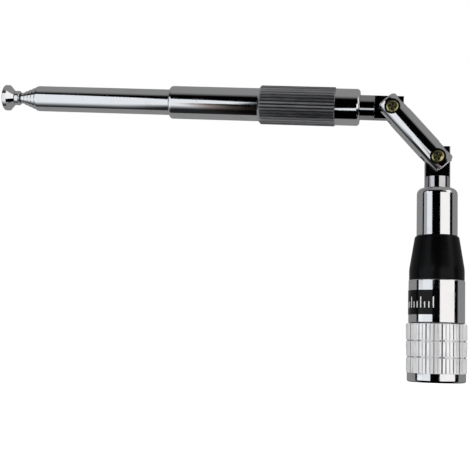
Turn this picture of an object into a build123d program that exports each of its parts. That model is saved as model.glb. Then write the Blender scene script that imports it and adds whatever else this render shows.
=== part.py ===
from build123d import *
from math import cos, pi, radians, sin, sqrt, tan
import os

# A telescopic whip antenna: a bayonet plug, a two-pivot elbow, a locking sleeve and a mast
# of six nested sections. Millimetres and degrees. Z runs up the plug's axis from the rim of
# its coupling ring, the mast leans toward -X and both elbow pivots lie along Y.

# Elbow angles as drawn, each measured from straight up
link_lean = 41.55
mast_lean = 87.9
elbow_full_bend = 50.0

# Clearances
glued_gap = 0.02
running_gap = 0.04
ring_play = 0.05
cheek_play = 0.05
stop_play = 0.05

# Coupling ring
ring_radius = 7.25
ring_rim_radius = 7.02
ring_rim_height = 2.2
ring_band_height = 3.9
ring_band_count = 3
ring_groove_width = 0.3
ring_groove_depth = 0.3
ring_edge = 0.12
ring_flute_count = 48
ring_flute_depth = 0.3
ring_flute_width = 0.38
ring_front_bore_radius = 4.9
ring_front_bore_depth = 8.2
ring_wall = 1.25
bayonet_peg_radius = 1.1
bayonet_lead_in = 3.4
bayonet_rise = 2.6
bayonet_turn = 80.0
bayonet_slot_count = 2

# Plug behind the ring
barrel_radius = 4.05
barrel_wall = 0.65
barrel_finger_count = 4
barrel_slot_width = 0.4
barrel_slot_length = 7.0
barrel_length = 8.4
barrel_root_length = 0.9
barrel_root_radius = 3.75
flange_thickness = 1.0
hub_relief = 0.6
hub_thread_length = 4.0
insulator_recess = 0.8
insulator_well_radius = 2.5
insulator_well_depth = 5.7
insulator_tail_radius = 2.2
contact_radius = 0.685
contact_root_radius = 0.95
contact_recess = 1.2
contact_point_length = 0.9
contact_tail_length = 1.5
gasket_thickness = 0.8
gasket_width = 0.95
washer_thickness = 0.22
washer_wave_height = 0.26
washer_wave_count = 3
clip_thickness = 0.6
clip_groove_depth = 0.45
clip_opening = 36.0

# Base tube and its black band
base_tube_radius = 6.72
base_tube_wall = 1.2
base_tube_height = 10.4
base_tube_edge = 0.25
base_joint_gap = 0.1
label_thickness = 0.08
label_height = 5.8
label_bottom_margin = 2.0
label_wrap = 240.0
label_edge_angle = 3.0

# Black insulating taper
taper_foot_step = 0.11
taper_straight_height = 2.6
taper_height = 10.7
taper_top_radius = 5.27
taper_blend_radius = 9.0
taper_edge_radius = 0.55
taper_spigot_length = 4.0
taper_bore_radius = 3.2
taper_roof = 2.4
taper_stub_height = 2.6

# Coil inside the taper
former_radius = 1.6
former_flange_radius = 2.9
former_flange_thickness = 0.8
former_height = 11.0
coil_wire_radius = 0.3
coil_turns = 4
coil_pitch = 1.6

# Ferrule above the taper
ferrule_radius = 4.9
ferrule_wall = 0.9
ferrule_height = 11.75
ferrule_crown = 2.6
ferrule_edge_radius = 1.5

# Elbow
elbow_radius = 3.1
pivot_spacing = 16.69
lower_neck_to_pivot = 4.83
upper_neck_to_pivot = 4.35
neck_height = 2.75
knuckle_foot_height = 5.0
knuckle_stub_radius = 1.5
tongue_thickness = 2.4
tongue_overhang = 2.75
fork_overhang = 2.6
fork_edge = 0.45
slot_floor = 2.85
upper_neck_length = 5.5
upper_spigot_length = 6.0

# Pivot screws
screw_shank_radius = 1.0
screw_head_radius = 1.65
screw_head_height = 0.7
screw_head_edge = 0.25
screw_bore_radius = 1.95
screw_seat_thickness = 0.75
screw_tail_margin = 0.2
cross_length = 1.9
cross_width = 0.5
cross_depth = 0.45

# Locking sleeve, measured along the mast from the upper pivot
sleeve_park = 7.95
sleeve_bore_radius = 3.33
sleeve_collar_radius = 4.58
sleeve_collar_length = 6.1
sleeve_collar_edge = 0.8
sleeve_grip_radius = 4.88
sleeve_grip_length = 18.9
sleeve_grip_edge = 0.3
sleeve_front_radius = 4.16
sleeve_front_length = 23.25
sleeve_front_edge = 0.75
sleeve_cove = 0.38
sleeve_flute_count = 36
sleeve_flute_depth = 0.3
sleeve_flute_width = 0.5
sleeve_spring_length = 3.0
sleeve_spring_setback = 6.0
sleeve_spring_thickness = 0.35
sleeve_spring_opening = 60.0

# Mast sections, outermost first and the solid tip rod last
mast_radius = 3.25
mast_wall = 0.3
inner_wall = 0.2
mast_end = 91.95
inner_radius = 2.75
inner_radius_step = 0.425
inner_section_count = 5
section_peek = 1.05
section_foot_step = 0.8
section_foot_gap = 1.0
lip_length = 1.0
lip_band = 0.1
lip_swell = 0.3
foot_flare_height = 0.6
clip_length = 4.0
clip_split = 70.0
travel_margin = 0.4

# Tip button
bead_radius = 1.87
bead_length = 1.4
bead_waist = 1.15
bead_gap = 0.2
bead_nose = 0.45
bead_notch = 0.3
bead_neck = 1.6
button_radius = 3.31
button_back_length = 1.65
button_rim_thickness = 1.15
button_rim_edge = 0.3
button_shoulder_radius = 2.55
button_shoulder_length = 0.7
button_crown = 0.35

# Places worked out from the sizes
ring_height = ring_rim_height + ring_band_count * ring_band_height
ring_back_bore_radius = ring_radius - ring_wall
flange_radius = ring_back_bore_radius - ring_play
flange_bottom = barrel_length + barrel_root_length
flange_top = flange_bottom + flange_thickness
hub_radius = flange_radius - hub_relief
clip_bottom = flange_top + ring_play
base_bottom = ring_height + base_joint_gap
base_top = base_bottom + base_tube_height
taper_bottom_radius = base_tube_radius - taper_foot_step
base_bore_radius = base_tube_radius - base_tube_wall
hub_top = base_bottom + hub_thread_length
taper_top = base_top + taper_height
ferrule_top = taper_top + ferrule_height
neck_top = ferrule_top + neck_height
lower_pivot = neck_top + lower_neck_to_pivot
tongue_half = tongue_thickness / 2
slot_half = tongue_half + cheek_play
screw_seat = slot_half + screw_seat_thickness
sleeve_length = sleeve_collar_length + sleeve_grip_length + sleeve_front_length
insulator_seat = flange_bottom
section_count = inner_section_count + 1
sleeve_travel = mast_end - lip_length - travel_margin - sleeve_park - sleeve_length

link_frame = Location((0, 0, lower_pivot), (0, -link_lean, 0))
upper_pivot_x = -pivot_spacing * sin(radians(link_lean))
upper_pivot_z = lower_pivot + pivot_spacing * cos(radians(link_lean))
mast_frame = Location((upper_pivot_x, 0, upper_pivot_z), (0, -mast_lean, 0))


def turned(points):
    """A solid of revolution about Z from its closed outline of radius and height."""
    return revolve(Plane.XZ * make_face(Polyline(*points, close=True)), Axis.Z)


def pipe(outer, inner, bottom, top):
    """A plain round tube between two heights."""
    return Pos(0, 0, bottom) * extrude(Circle(outer) - Circle(inner), top - bottom)


def flute_cutter(radius, count, width, depth, bottom, top):
    """Straight V flutes round a cylinder, as one cutting tool."""
    reach = depth
    flute = Polygon((-depth, 0), (reach, -width), (reach, width), align=None)
    flutes = Sketch() + [place * flute for place in PolarLocations(radius, count)]
    return Pos(0, 0, bottom) * extrude(flutes, top - bottom)


def sector(radius, start, sweep, bottom, top):
    """A slice of a cylinder between two angles, for splitting rings."""
    far = 2 * radius
    half = sweep / 2
    outline = [(0, 0)]
    for turn in (-half, 0, half):
        angle = radians(start + half + turn)
        outline.append((far * cos(angle), far * sin(angle)))
    face = make_face(Polyline(*outline, close=True))
    return Pos(0, 0, bottom) * extrude(face, top - bottom)


def ring_outline():
    """Outside of the coupling ring: a plain rim, then three bands parted by thin grooves."""
    points = [
        (ring_rim_radius - ring_edge, 0),
        (ring_rim_radius, ring_edge),
        (ring_rim_radius, ring_rim_height),
    ]
    for band in range(ring_band_count):
        bottom = ring_rim_height + band * ring_band_height
        top = bottom + ring_band_height
        if band < ring_band_count - 1:
            top = top - ring_groove_width
        points.append((ring_radius - ring_groove_depth, bottom))
        points.append((ring_radius - ring_edge, bottom))
        points.append((ring_radius, bottom + ring_edge))
        points.append((ring_radius, top - ring_edge))
        points.append((ring_radius - ring_edge, top))
        if band < ring_band_count - 1:
            points.append((ring_radius - ring_groove_depth, top))
    return points


def bayonet_slot():
    """One lug's way in: straight up from the rim, round a ramp and into its end pocket."""
    middle = ring_front_bore_radius - glued_gap
    lead_in = Pos(middle, 0, -bayonet_lead_in) * extrude(Circle(bayonet_peg_radius), 2 * bayonet_lead_in)
    ramp_pitch = bayonet_rise * 360 / bayonet_turn
    ramp = Pos(0, 0, bayonet_lead_in) * Helix(ramp_pitch, bayonet_rise, middle)
    section = Plane(ramp @ 0, z_dir=ramp % 0) * Circle(bayonet_peg_radius)
    groove = sweep(section, path=ramp, is_frenet=True)
    ends = [Pos(*(ramp @ along)) * Sphere(bayonet_peg_radius) for along in (0, 1)]
    return lead_in + groove + ends


def coupling_ring():
    """Knurled bayonet ring with two internal ramps and a groove for its retaining clip."""
    clip_top = clip_bottom + clip_thickness + ring_play
    groove_radius = ring_back_bore_radius + clip_groove_depth
    inside = [
        (ring_back_bore_radius, ring_height),
        (ring_back_bore_radius, clip_top),
        (groove_radius, clip_top),
        (groove_radius, clip_bottom),
        (ring_back_bore_radius, clip_bottom),
        (ring_back_bore_radius, ring_front_bore_depth),
        (ring_front_bore_radius, ring_front_bore_depth),
        (ring_front_bore_radius, 0),
    ]
    body = turned(ring_outline() + inside)
    body -= flute_cutter(
        ring_radius, ring_flute_count, ring_flute_width, ring_flute_depth, ring_rim_height, ring_height
    )
    for place in PolarLocations(0, bayonet_slot_count):
        body -= place * bayonet_slot()
    return body


def plug_body():
    """Contact barrel with spring fingers, thrust flange and the thread into the base tube."""
    bore = barrel_radius - barrel_wall
    tail = insulator_tail_radius + glued_gap
    thread = base_bore_radius - glued_gap
    body = turned(
        [
            (bore, 0),
            (barrel_radius, 0),
            (barrel_radius, barrel_length),
            (barrel_root_radius, barrel_length),
            (barrel_root_radius, flange_bottom),
            (flange_radius, flange_bottom),
            (flange_radius, flange_top),
            (hub_radius, flange_top),
            (hub_radius, base_bottom),
            (thread, base_bottom),
            (thread, hub_top),
            (tail, hub_top),
            (tail, insulator_seat),
            (bore, insulator_seat),
        ]
    )
    slot = Box(
        2 * barrel_radius,
        barrel_slot_width,
        barrel_slot_length,
        align=(Align.MIN, Align.CENTER, Align.MIN),
    )
    for place in PolarLocations(0, barrel_finger_count, start_angle=45):
        body -= place * slot
    return body


def plug_insulator():
    """White insulator: a deep well round the contact and a tail through the plug body."""
    outer = barrel_radius - barrel_wall - glued_gap
    hole = contact_root_radius + glued_gap
    floor = insulator_recess + insulator_well_depth
    return turned(
        [
            (insulator_well_radius, insulator_recess),
            (outer, insulator_recess),
            (outer, insulator_seat - glued_gap),
            (insulator_tail_radius, insulator_seat - glued_gap),
            (insulator_tail_radius, hub_top),
            (hole, hub_top),
            (hole, floor),
            (insulator_well_radius, floor),
        ]
    )


def centre_contact():
    """Plug pin with a pointed nose, thicker where the insulator grips it."""
    floor = insulator_recess + insulator_well_depth
    tail = hub_top + contact_tail_length
    return turned(
        [
            (0, contact_recess),
            (contact_radius / 2, contact_recess),
            (contact_radius, contact_recess + contact_point_length),
            (contact_radius, floor),
            (contact_root_radius, floor),
            (contact_root_radius, tail),
            (0, tail),
        ]
    )


def seal_gasket():
    """Soft ring in the undercut at the barrel's root, against the flange."""
    inner = barrel_root_radius + glued_gap
    top = flange_bottom - glued_gap
    return pipe(inner + gasket_width, inner, top - gasket_thickness, top)


def wave_washer():
    """Thin spring ring with three waves between the ring's shoulder and the flange."""
    outer = ring_back_bore_radius - ring_play
    inner = barrel_root_radius + gasket_width + 2 * ring_play
    middle = (outer + inner) / 2
    rest = ring_front_bore_depth + ring_play + washer_thickness / 2
    half_wave = pi / washer_wave_count
    points = [
        (middle, 0, rest),
        (middle * cos(half_wave / 2), middle * sin(half_wave / 2), rest + washer_wave_height / 2),
        (middle * cos(half_wave), middle * sin(half_wave), rest + washer_wave_height),
    ]
    path = Spline(*points, tangents=[(0, 1, 0), (-sin(half_wave), cos(half_wave), 0)])
    section = Plane(path @ 0, x_dir=(1, 0, 0), z_dir=path % 0) * Rectangle(outer - inner, washer_thickness)
    rising = sweep(section, path=path)
    wave = rising + mirror(rising, Plane.XZ)
    return Part() + [place * wave for place in PolarLocations(0, washer_wave_count)]


def retaining_clip():
    """Open ring that snaps into the coupling ring behind the flange."""
    outer = ring_back_bore_radius + clip_groove_depth - glued_gap
    inner = hub_radius + 2 * ring_play
    bottom = clip_bottom + glued_gap
    body = pipe(outer, inner, bottom, bottom + clip_thickness)
    return body - sector(outer, 0, clip_opening, bottom, bottom + clip_thickness)


def base_tube():
    """Chromed tube over the plug's thread, with eased end edges."""
    top = base_top
    return turned(
        [
            (base_bore_radius, base_bottom),
            (base_tube_radius - base_tube_edge, base_bottom),
            (base_tube_radius, base_bottom + base_tube_edge),
            (base_tube_radius, top - base_tube_edge),
            (base_tube_radius - base_tube_edge, top),
            (base_bore_radius, top),
        ]
    )


def label_band():
    """Black film wrapped most of the way round the base tube."""
    bottom = base_bottom + label_bottom_margin
    top = bottom + label_height
    outer = base_tube_radius + label_thickness
    bare_start = -90 + label_edge_angle
    film = pipe(outer, base_tube_radius, bottom, top)
    bare = 360 - label_wrap
    return film - sector(outer, bare_start, bare, bottom, top)


def taper_sleeve():
    """Black insulator: a straight foot, a blended taper and a spigot at each end."""
    spigot = base_bore_radius - glued_gap
    spigot_bottom = base_top - taper_spigot_length
    stub = ferrule_radius - ferrule_wall - glued_gap
    stub_top = taper_top + taper_stub_height
    knuckle_hole = knuckle_stub_radius + glued_gap
    roof = taper_top - taper_roof
    bend = (taper_bottom_radius, base_top + taper_straight_height)
    shoulder = (taper_top_radius, taper_top)
    face = make_face(
        Polyline(
            (taper_bore_radius, spigot_bottom),
            (spigot, spigot_bottom),
            (spigot, base_top),
            (taper_bottom_radius, base_top),
            bend,
            shoulder,
            (stub, taper_top),
            (stub, stub_top),
            (knuckle_hole, stub_top),
            (knuckle_hole, roof),
            (taper_bore_radius, roof),
            close=True,
        )
    )
    face = fillet(face.vertices().sort_by_distance(bend)[0], taper_blend_radius)
    face = fillet(face.vertices().sort_by_distance(shoulder)[0], taper_edge_radius)
    return revolve(Plane.XZ * face, Axis.Z)


def coil_former():
    """Insulating bobbin between the plug pin and the foot of the elbow."""
    bottom = hub_top + glued_gap
    top = bottom + former_height
    hole = contact_root_radius + glued_gap
    pocket = contact_tail_length + glued_gap
    return turned(
        [
            (hole, bottom),
            (former_flange_radius, bottom),
            (former_flange_radius, bottom + former_flange_thickness),
            (former_radius, bottom + former_flange_thickness),
            (former_radius, top - former_flange_thickness),
            (former_flange_radius, top - former_flange_thickness),
            (former_flange_radius, top),
            (0, top),
            (0, bottom + pocket),
            (hole, bottom + pocket),
        ]
    )


def matching_coil():
    """Bare wire wound on the former."""
    bottom = hub_top + former_flange_thickness
    length = coil_turns * coil_pitch
    start = bottom + (former_height - 2 * former_flange_thickness - length) / 2
    turn_radius = former_radius + coil_wire_radius + glued_gap
    path = Pos(0, 0, start) * Helix(coil_pitch, length, turn_radius)
    section = Plane(path @ 0, z_dir=path % 0) * Circle(coil_wire_radius)
    return sweep(section, path=path, is_frenet=True)


def ferrule():
    """Chromed cap over the taper's stub and the knuckle's foot, with a rounded crown."""
    bore = ferrule_radius - ferrule_wall
    hole = elbow_radius + glued_gap
    crown = (ferrule_radius, ferrule_top)
    face = make_face(
        Polyline(
            (bore, taper_top + glued_gap),
            (ferrule_radius, taper_top + glued_gap),
            crown,
            (hole, ferrule_top),
            (hole, ferrule_top - ferrule_crown),
            (bore, ferrule_top - ferrule_crown),
            close=True,
        )
    )
    face = fillet(face.vertices().sort_by_distance(crown)[0], ferrule_edge_radius)
    return revolve(Plane.XZ * face, Axis.Z)


def tongue_outline(neck_distance):
    """Side outline of a knuckle's tongue about its pivot, with the neck below.

    The outer corner is square and stops the joint when it is straight. The inner corner is
    round, with a small shoulder that meets the fork's floor at the full bend.
    """
    full_bend = radians(elbow_full_bend)
    shoulder = (slot_floor - stop_play - elbow_radius * sin(full_bend)) / cos(full_bend)
    outer_half = Pos(elbow_radius / 2, 0) * Rectangle(
        elbow_radius, tongue_overhang, align=(Align.CENTER, Align.MIN)
    )
    lower = Pos(0, shoulder) * Rectangle(
        2 * elbow_radius, neck_distance + shoulder, align=(Align.CENTER, Align.MAX)
    )
    return Circle(tongue_overhang) + outer_half + lower


def tongue(neck_distance):
    """Flat tongue with rounded sides, its pivot at the origin and its neck end below."""
    length = neck_distance + tongue_overhang
    round_bar = Pos(0, 0, -neck_distance) * extrude(Circle(elbow_radius), length)
    flat = extrude(Plane.XZ * tongue_outline(neck_distance), tongue_half, both=True)
    pivot_hole = Rot(90, 0, 0) * Cylinder(screw_shank_radius + running_gap, 2 * elbow_radius)
    return (round_bar & flat) - pivot_hole


def lower_knuckle():
    """Tongue, neck and foot in one turned and milled piece, held under the ferrule's crown."""
    foot_top = ferrule_top - ferrule_crown - glued_gap
    foot_bottom = foot_top - knuckle_foot_height
    former_top = hub_top + former_height
    foot_radius = ferrule_radius - ferrule_wall - glued_gap
    shaft = turned(
        [
            (0, former_top + 2 * glued_gap),
            (knuckle_stub_radius, former_top + 2 * glued_gap),
            (knuckle_stub_radius, foot_bottom),
            (foot_radius, foot_bottom),
            (foot_radius, foot_top),
            (elbow_radius, foot_top),
            (elbow_radius, neck_top),
            (0, neck_top),
        ]
    )
    return shaft + Pos(0, 0, lower_pivot) * tongue(lower_neck_to_pivot)


def fork_cut(side):
    """Room for one tongue, its pivot at the origin and the open end on the given side."""
    reach = fork_overhang + slot_floor
    width = 2 * elbow_radius + fork_edge
    slot = Box(width, 2 * slot_half, reach, align=(Align.CENTER, Align.CENTER, Align.MAX))
    return Rot(0, 90 - 90 * side, 0) * (Pos(0, 0, slot_floor) * slot)


def screw_bore():
    """Stepped hole for a pivot screw along Y, its head pocket on the -Y side."""
    hole = Rot(90, 0, 0) * Cylinder(screw_shank_radius + glued_gap, 2 * elbow_radius)
    pocket_depth = elbow_radius
    middle = -screw_seat - pocket_depth / 2
    pocket = Pos(0, middle, 0) * Rot(90, 0, 0) * Cylinder(screw_bore_radius, pocket_depth)
    return hole + pocket


def link_bar():
    """Round bar forked at both ends, from the lower pivot at the origin up to the upper one."""
    length = pivot_spacing + 2 * fork_overhang
    bar = Pos(0, 0, -fork_overhang) * extrude(Circle(elbow_radius), length)
    ends = bar.edges().filter_by(GeomType.CIRCLE)
    bar = chamfer(ends, fork_edge)
    upper = Pos(0, 0, pivot_spacing)
    bar -= fork_cut(1)
    bar -= upper * fork_cut(-1)
    bar -= screw_bore()
    bar -= upper * screw_bore()
    return bar


def pivot_screw():
    """Cross-recessed screw along Y with a low domed head on the -Y side."""
    seat = screw_seat + glued_gap
    crown = seat + screw_head_height
    tail = sqrt(elbow_radius**2 - screw_shank_radius**2) - screw_tail_margin
    profile = turned(
        [
            (0, -tail),
            (screw_shank_radius, -tail),
            (screw_shank_radius, seat),
            (screw_head_radius, seat),
            (screw_head_radius, crown - screw_head_edge),
            (screw_head_radius - screw_head_edge, crown),
            (0, crown),
        ]
    )
    bar = Box(cross_length, cross_width, cross_depth, align=(Align.CENTER, Align.CENTER, Align.MAX))
    recess = bar + Rot(0, 0, 90) * bar
    return Rot(90, 0, 0) * (profile - Pos(0, 0, crown) * recess)


def upper_knuckle():
    """Tongue, neck and the spigot that carries the outermost tube."""
    neck_end = upper_neck_to_pivot + upper_neck_length
    spigot = mast_radius - mast_wall - glued_gap
    shaft = turned(
        [
            (0, upper_neck_to_pivot),
            (elbow_radius, upper_neck_to_pivot),
            (elbow_radius, neck_end),
            (spigot, neck_end),
            (spigot, neck_end + upper_spigot_length),
            (0, neck_end + upper_spigot_length),
        ]
    )
    return shaft + mirror(tongue(upper_neck_to_pivot), Plane.XY)


def lock_sleeve():
    """Sliding sleeve: plain collar, fluted grip and a slimmer front with rounded ends."""
    collar_top = sleeve_collar_length
    grip_top = collar_top + sleeve_grip_length
    end = (sleeve_front_radius, sleeve_length)
    foot = (sleeve_collar_radius, 0)
    cove = (sleeve_front_radius, grip_top)
    spring_top = sleeve_length - sleeve_spring_setback
    spring_bottom = spring_top - sleeve_spring_length
    pocket = sleeve_bore_radius + sleeve_spring_thickness
    face = make_face(
        Polyline(
            (sleeve_bore_radius, 0),
            foot,
            (sleeve_collar_radius, collar_top),
            (sleeve_grip_radius - sleeve_grip_edge / 2, collar_top),
            (sleeve_grip_radius, collar_top + sleeve_grip_edge / 2),
            (sleeve_grip_radius, grip_top - sleeve_grip_edge),
            (sleeve_grip_radius - sleeve_grip_edge, grip_top),
            cove,
            end,
            (sleeve_bore_radius, sleeve_length),
            (sleeve_bore_radius, spring_top),
            (pocket, spring_top),
            (pocket, spring_bottom),
            (sleeve_bore_radius, spring_bottom),
            close=True,
        )
    )
    face = fillet(face.vertices().sort_by_distance(end)[0], sleeve_front_edge)
    face = fillet(face.vertices().sort_by_distance(foot)[0], sleeve_collar_edge)
    face = chamfer(face.vertices().sort_by_distance(cove)[0], sleeve_cove)
    body = revolve(Plane.XZ * face, Axis.Z)
    return body - flute_cutter(
        sleeve_grip_radius, sleeve_flute_count, sleeve_flute_width, sleeve_flute_depth, collar_top, grip_top
    )


def sleeve_spring():
    """Split spring ring in the sleeve's groove that rubs on the outermost tube."""
    outer = sleeve_bore_radius + sleeve_spring_thickness - glued_gap
    inner = mast_radius + running_gap
    top = sleeve_length - sleeve_spring_setback - glued_gap
    bottom = top - sleeve_spring_length + 2 * glued_gap
    body = pipe(outer, inner, bottom, top)
    return body - sector(outer, 0, sleeve_spring_opening, bottom, top)


def radius_of(number):
    """Outer radius of a section, the outermost one being number one."""
    if number == 1:
        return mast_radius
    return inner_radius - (number - 2) * inner_radius_step


def bore_of(number):
    """Bore radius of a tubular section."""
    if number == 1:
        return mast_radius - mast_wall
    return radius_of(number) - inner_wall


def end_of(number):
    """How far a section's outer end lies from the upper pivot."""
    return mast_end + (number - 1) * section_peek


def foot_of(number):
    """How far a section's inner end lies from the upper pivot."""
    spigot_end = upper_neck_to_pivot + upper_neck_length + upper_spigot_length
    return spigot_end + section_foot_gap + (number - 2) * section_foot_step


def travel_of(number):
    """How far a section slides before its clip meets the lip of the section around it."""
    clip_top = foot_of(number) + foot_flare_height + clip_length
    return end_of(number - 1) - lip_length - clip_top - travel_margin


def flare_of(number):
    """Radius of the flared foot that a clip sits on."""
    return bore_of(number - 1) - running_gap


def mast_tube(number):
    """A drawn tube whose outer end is rolled in to guide the next section."""
    radius = radius_of(number)
    bore = bore_of(number)
    guide = radius_of(number + 1) + running_gap
    end = end_of(number)
    lip_start = end - lip_length
    if number == 1:
        foot = upper_neck_to_pivot + upper_neck_length + glued_gap
        foot_points = [(bore, foot), (radius, foot)]
    else:
        foot = foot_of(number)
        flare_top = foot + foot_flare_height
        flare = flare_of(number)
        foot_points = [(bore, foot), (flare, foot), (flare, flare_top), (radius, flare_top)]
    rim = guide + lip_band
    swell_in = (radius - rim) * lip_swell
    rolled = ThreePointArc((radius, lip_start), (radius - swell_in, end - lip_length / 2), (rim, end))
    outline = (
        Polyline((rim, end), (guide, end), (guide, end - lip_length / 2), (bore, lip_start), *foot_points)
        + Line(foot_points[-1], (radius, lip_start))
        + rolled
    )
    return revolve(Plane.XZ * make_face(outline), Axis.Z)


def tip_rod():
    """Solid innermost section with a flared foot."""
    number = section_count
    radius = radius_of(number)
    foot = foot_of(number)
    flare_top = foot + foot_flare_height
    end = end_of(number)
    return turned(
        [
            (0, foot),
            (flare_of(number), foot),
            (flare_of(number), flare_top),
            (radius, flare_top),
            (radius, end),
            (0, end),
        ]
    )


def friction_clip(number):
    """Thin split brass sleeve that rubs inside the section around it."""
    inner = radius_of(number) + glued_gap
    outer = bore_of(number - 1) - running_gap
    bottom = foot_of(number) + foot_flare_height + glued_gap
    top = bottom + clip_length - glued_gap
    body = pipe(outer, inner, bottom, top)
    return body - sector(outer, 0, clip_split, bottom, top)


def tip_button():
    """Turned button: a small bead, a swelling back and a crowned disc."""
    start = end_of(section_count - 1) + bead_gap
    socket = end_of(section_count) + glued_gap
    bead_end = start + bead_length
    rim_start = bead_end + button_back_length
    rim_end = rim_start + button_rim_thickness
    hole = radius_of(section_count) + glued_gap
    shoulder = (button_shoulder_radius, rim_start - button_shoulder_length)
    back = Spline((bead_neck, bead_end), shoulder, (button_radius, rim_start))
    bead = Polyline(
        (0, socket),
        (hole, socket),
        (hole, start),
        (bead_waist, start),
        (bead_radius, start + bead_nose),
        (bead_radius, bead_end - bead_notch),
        (bead_neck, bead_end),
    )
    disc = Polyline(
        (button_radius, rim_start),
        (button_radius, rim_end - button_rim_edge),
        (button_radius - button_rim_edge, rim_end),
        (0, rim_end + button_crown),
        (0, socket),
    )
    return revolve(Plane.XZ * make_face(bead + back + disc), Axis.Z)


def all_pieces():
    """Every piece in its place, by node name."""
    pieces = {
        "coupling_ring": coupling_ring(),
        "retaining_clip": retaining_clip(),
        "wave_washer": wave_washer(),
        "plug_body": plug_body(),
        "plug_insulator": plug_insulator(),
        "centre_contact": centre_contact(),
        "seal_gasket": seal_gasket(),
        "base_tube": base_tube(),
        "label_band": label_band(),
        "taper_sleeve": taper_sleeve(),
        "coil_former": coil_former(),
        "matching_coil": matching_coil(),
        "ferrule": ferrule(),
        "lower_knuckle": lower_knuckle(),
        "link_bar": link_frame * link_bar(),
        "lower_pivot_screw": link_frame * pivot_screw(),
        "upper_pivot_screw": link_frame * Pos(0, 0, pivot_spacing) * pivot_screw(),
        "upper_knuckle": mast_frame * upper_knuckle(),
        "lock_sleeve": mast_frame * Pos(0, 0, sleeve_park) * lock_sleeve(),
        "sleeve_spring": mast_frame * Pos(0, 0, sleeve_park) * sleeve_spring(),
        "tip_rod": mast_frame * tip_rod(),
        "tip_button": mast_frame * tip_button(),
    }
    for number in range(1, section_count):
        pieces[f"mast_tube_{number}"] = mast_frame * mast_tube(number)
    for number in range(2, section_count + 1):
        pieces[f"friction_clip_{number}"] = mast_frame * friction_clip(number)
    return pieces


def main():
    os.makedirs("parts", exist_ok=True)
    for name, shape in all_pieces().items():
        export_step(shape, f"parts/{name}.step")
    for number in range(2, section_count + 1):
        print("travel of section", number, round(travel_of(number), 2))
    print("travel of the sleeve", round(sleeve_travel, 2))
    print("lower pivot", lower_pivot, "upper pivot", upper_pivot_x, upper_pivot_z)


if __name__ == "__main__":
    main()
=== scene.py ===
from math import cos, pi, radians, sin, sqrt, tan

import bmesh
import bpy
from bpy.props import FloatProperty, FloatVectorProperty, IntProperty, PointerProperty
from mathutils import Matrix, Vector


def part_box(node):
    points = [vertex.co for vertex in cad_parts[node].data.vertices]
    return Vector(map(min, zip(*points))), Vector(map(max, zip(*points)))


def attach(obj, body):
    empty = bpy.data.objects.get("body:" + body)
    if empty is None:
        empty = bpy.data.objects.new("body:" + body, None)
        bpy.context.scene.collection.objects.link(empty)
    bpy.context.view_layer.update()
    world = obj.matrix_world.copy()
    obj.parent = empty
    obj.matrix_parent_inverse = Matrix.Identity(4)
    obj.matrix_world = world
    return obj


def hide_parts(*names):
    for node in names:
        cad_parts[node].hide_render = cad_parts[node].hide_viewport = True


bl_info = {
    "name": "Telescopic antenna",
    "version": (1, 0, 0),
    "blender": (4, 5, 0),
    "location": "3D View > Sidebar > Antenna",
    "description": "Builds the chromed whip antenna, its elbow and its plug round the packed frame",
    "category": "Object",
}

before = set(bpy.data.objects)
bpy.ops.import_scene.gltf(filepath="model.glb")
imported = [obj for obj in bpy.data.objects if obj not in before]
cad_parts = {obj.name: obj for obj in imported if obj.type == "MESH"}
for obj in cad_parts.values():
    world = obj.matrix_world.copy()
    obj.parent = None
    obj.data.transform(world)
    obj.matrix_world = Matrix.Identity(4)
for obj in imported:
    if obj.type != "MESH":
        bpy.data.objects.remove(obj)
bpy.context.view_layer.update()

MM = 0.001
FULL_CIRCLE = 2 * pi
QUARTER = pi / 2
# Gap between two pieces that fit into each other.
FIT = 0.02 * MM
# Lengths and angles closer than these are taken as equal.
HAIR = 1e-9
SLACK = 1e-7
# Faces round a turned piece: the widest ones, the usual ones and the slim ones.
WIDE_ROUND, ROUND, SLIM_ROUND = 192, 160, 96

# Corners of the reflector cards, in millimetres. The first two stand upright in front, at the
# card distance, and give X and Z alone.
LEFT_CARD = [
    (-420, -40), (-118, -40), (-112, 6), (-86, 12), (-86, 36), (-80, 50), (-78, 72), (-99, 106),
    (-110, 114), (-121, 120), (-132, 146), (-143, 160), (-157, 172), (-172, 190), (-184, 194),
    (-200, 205), (-420, 230),
]
RIGHT_CARD = [(42, -40), (320, -40), (320, 150), (60, 100), (42, 70)]
SIDE_LEFT_CARD = [(-420, -235, -40), (-420, -70, -40), (-420, -70, 230), (-420, -235, 230)]
SIDE_RIGHT_CARD = [(320, -235, -25), (320, -100, -25), (320, -100, 150), (320, -235, 150)]
HIGH_RIGHT_CARD = [(320, -235, 140), (320, -10, 140), (320, -10, 360), (320, -235, 360)]
# The black flag stands in front of the ferrule. Of the two small cards one is to the left of the
# link, and the other is lower down and nearer the camera.
FLAG = [(-7, -14, 33), (3, -14, 33), (3, -14, 52.5), (-7, -14, 52.5)]
LINK_CARD = [(-11.5, -8, 46.5), (-11, -12, 48.5), (-14.6, -12, 54.5), (-14.6, -8, 53)]
NEAR_CARD = [(-13, -60, 50), (-20, -60, 49), (-30, -60, 44), (-30, -60, 30), (-13, -60, 30)]
TABLE_CARD = [(-420, -235, 1), (-40, -235, 1), (-40, 0, 1), (-420, 0, 1)]


def length(label, description, millimetres):
    """A size that shows in the scene's length unit."""
    return FloatProperty(
        name=label, description=description, default=millimetres * MM, unit="LENGTH", precision=5
    )


def angle(label, description, degrees):
    """An angle, kept in radians and shown in degrees."""
    return FloatProperty(name=label, description=description, default=radians(degrees), subtype="ANGLE")


def share(label, description, value):
    """A plain number without a unit."""
    return FloatProperty(name=label, description=description, default=value)


def count(label, description, value):
    """A whole number of like features."""
    return IntProperty(name=label, description=description, default=value, min=1)


def colour(label, description, red, green, blue):
    """A linear colour."""
    return FloatVectorProperty(
        name=label,
        description=description,
        default=(red, green, blue),
        subtype="COLOR",
        size=3,
        min=0,
        max=1,
    )


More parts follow.
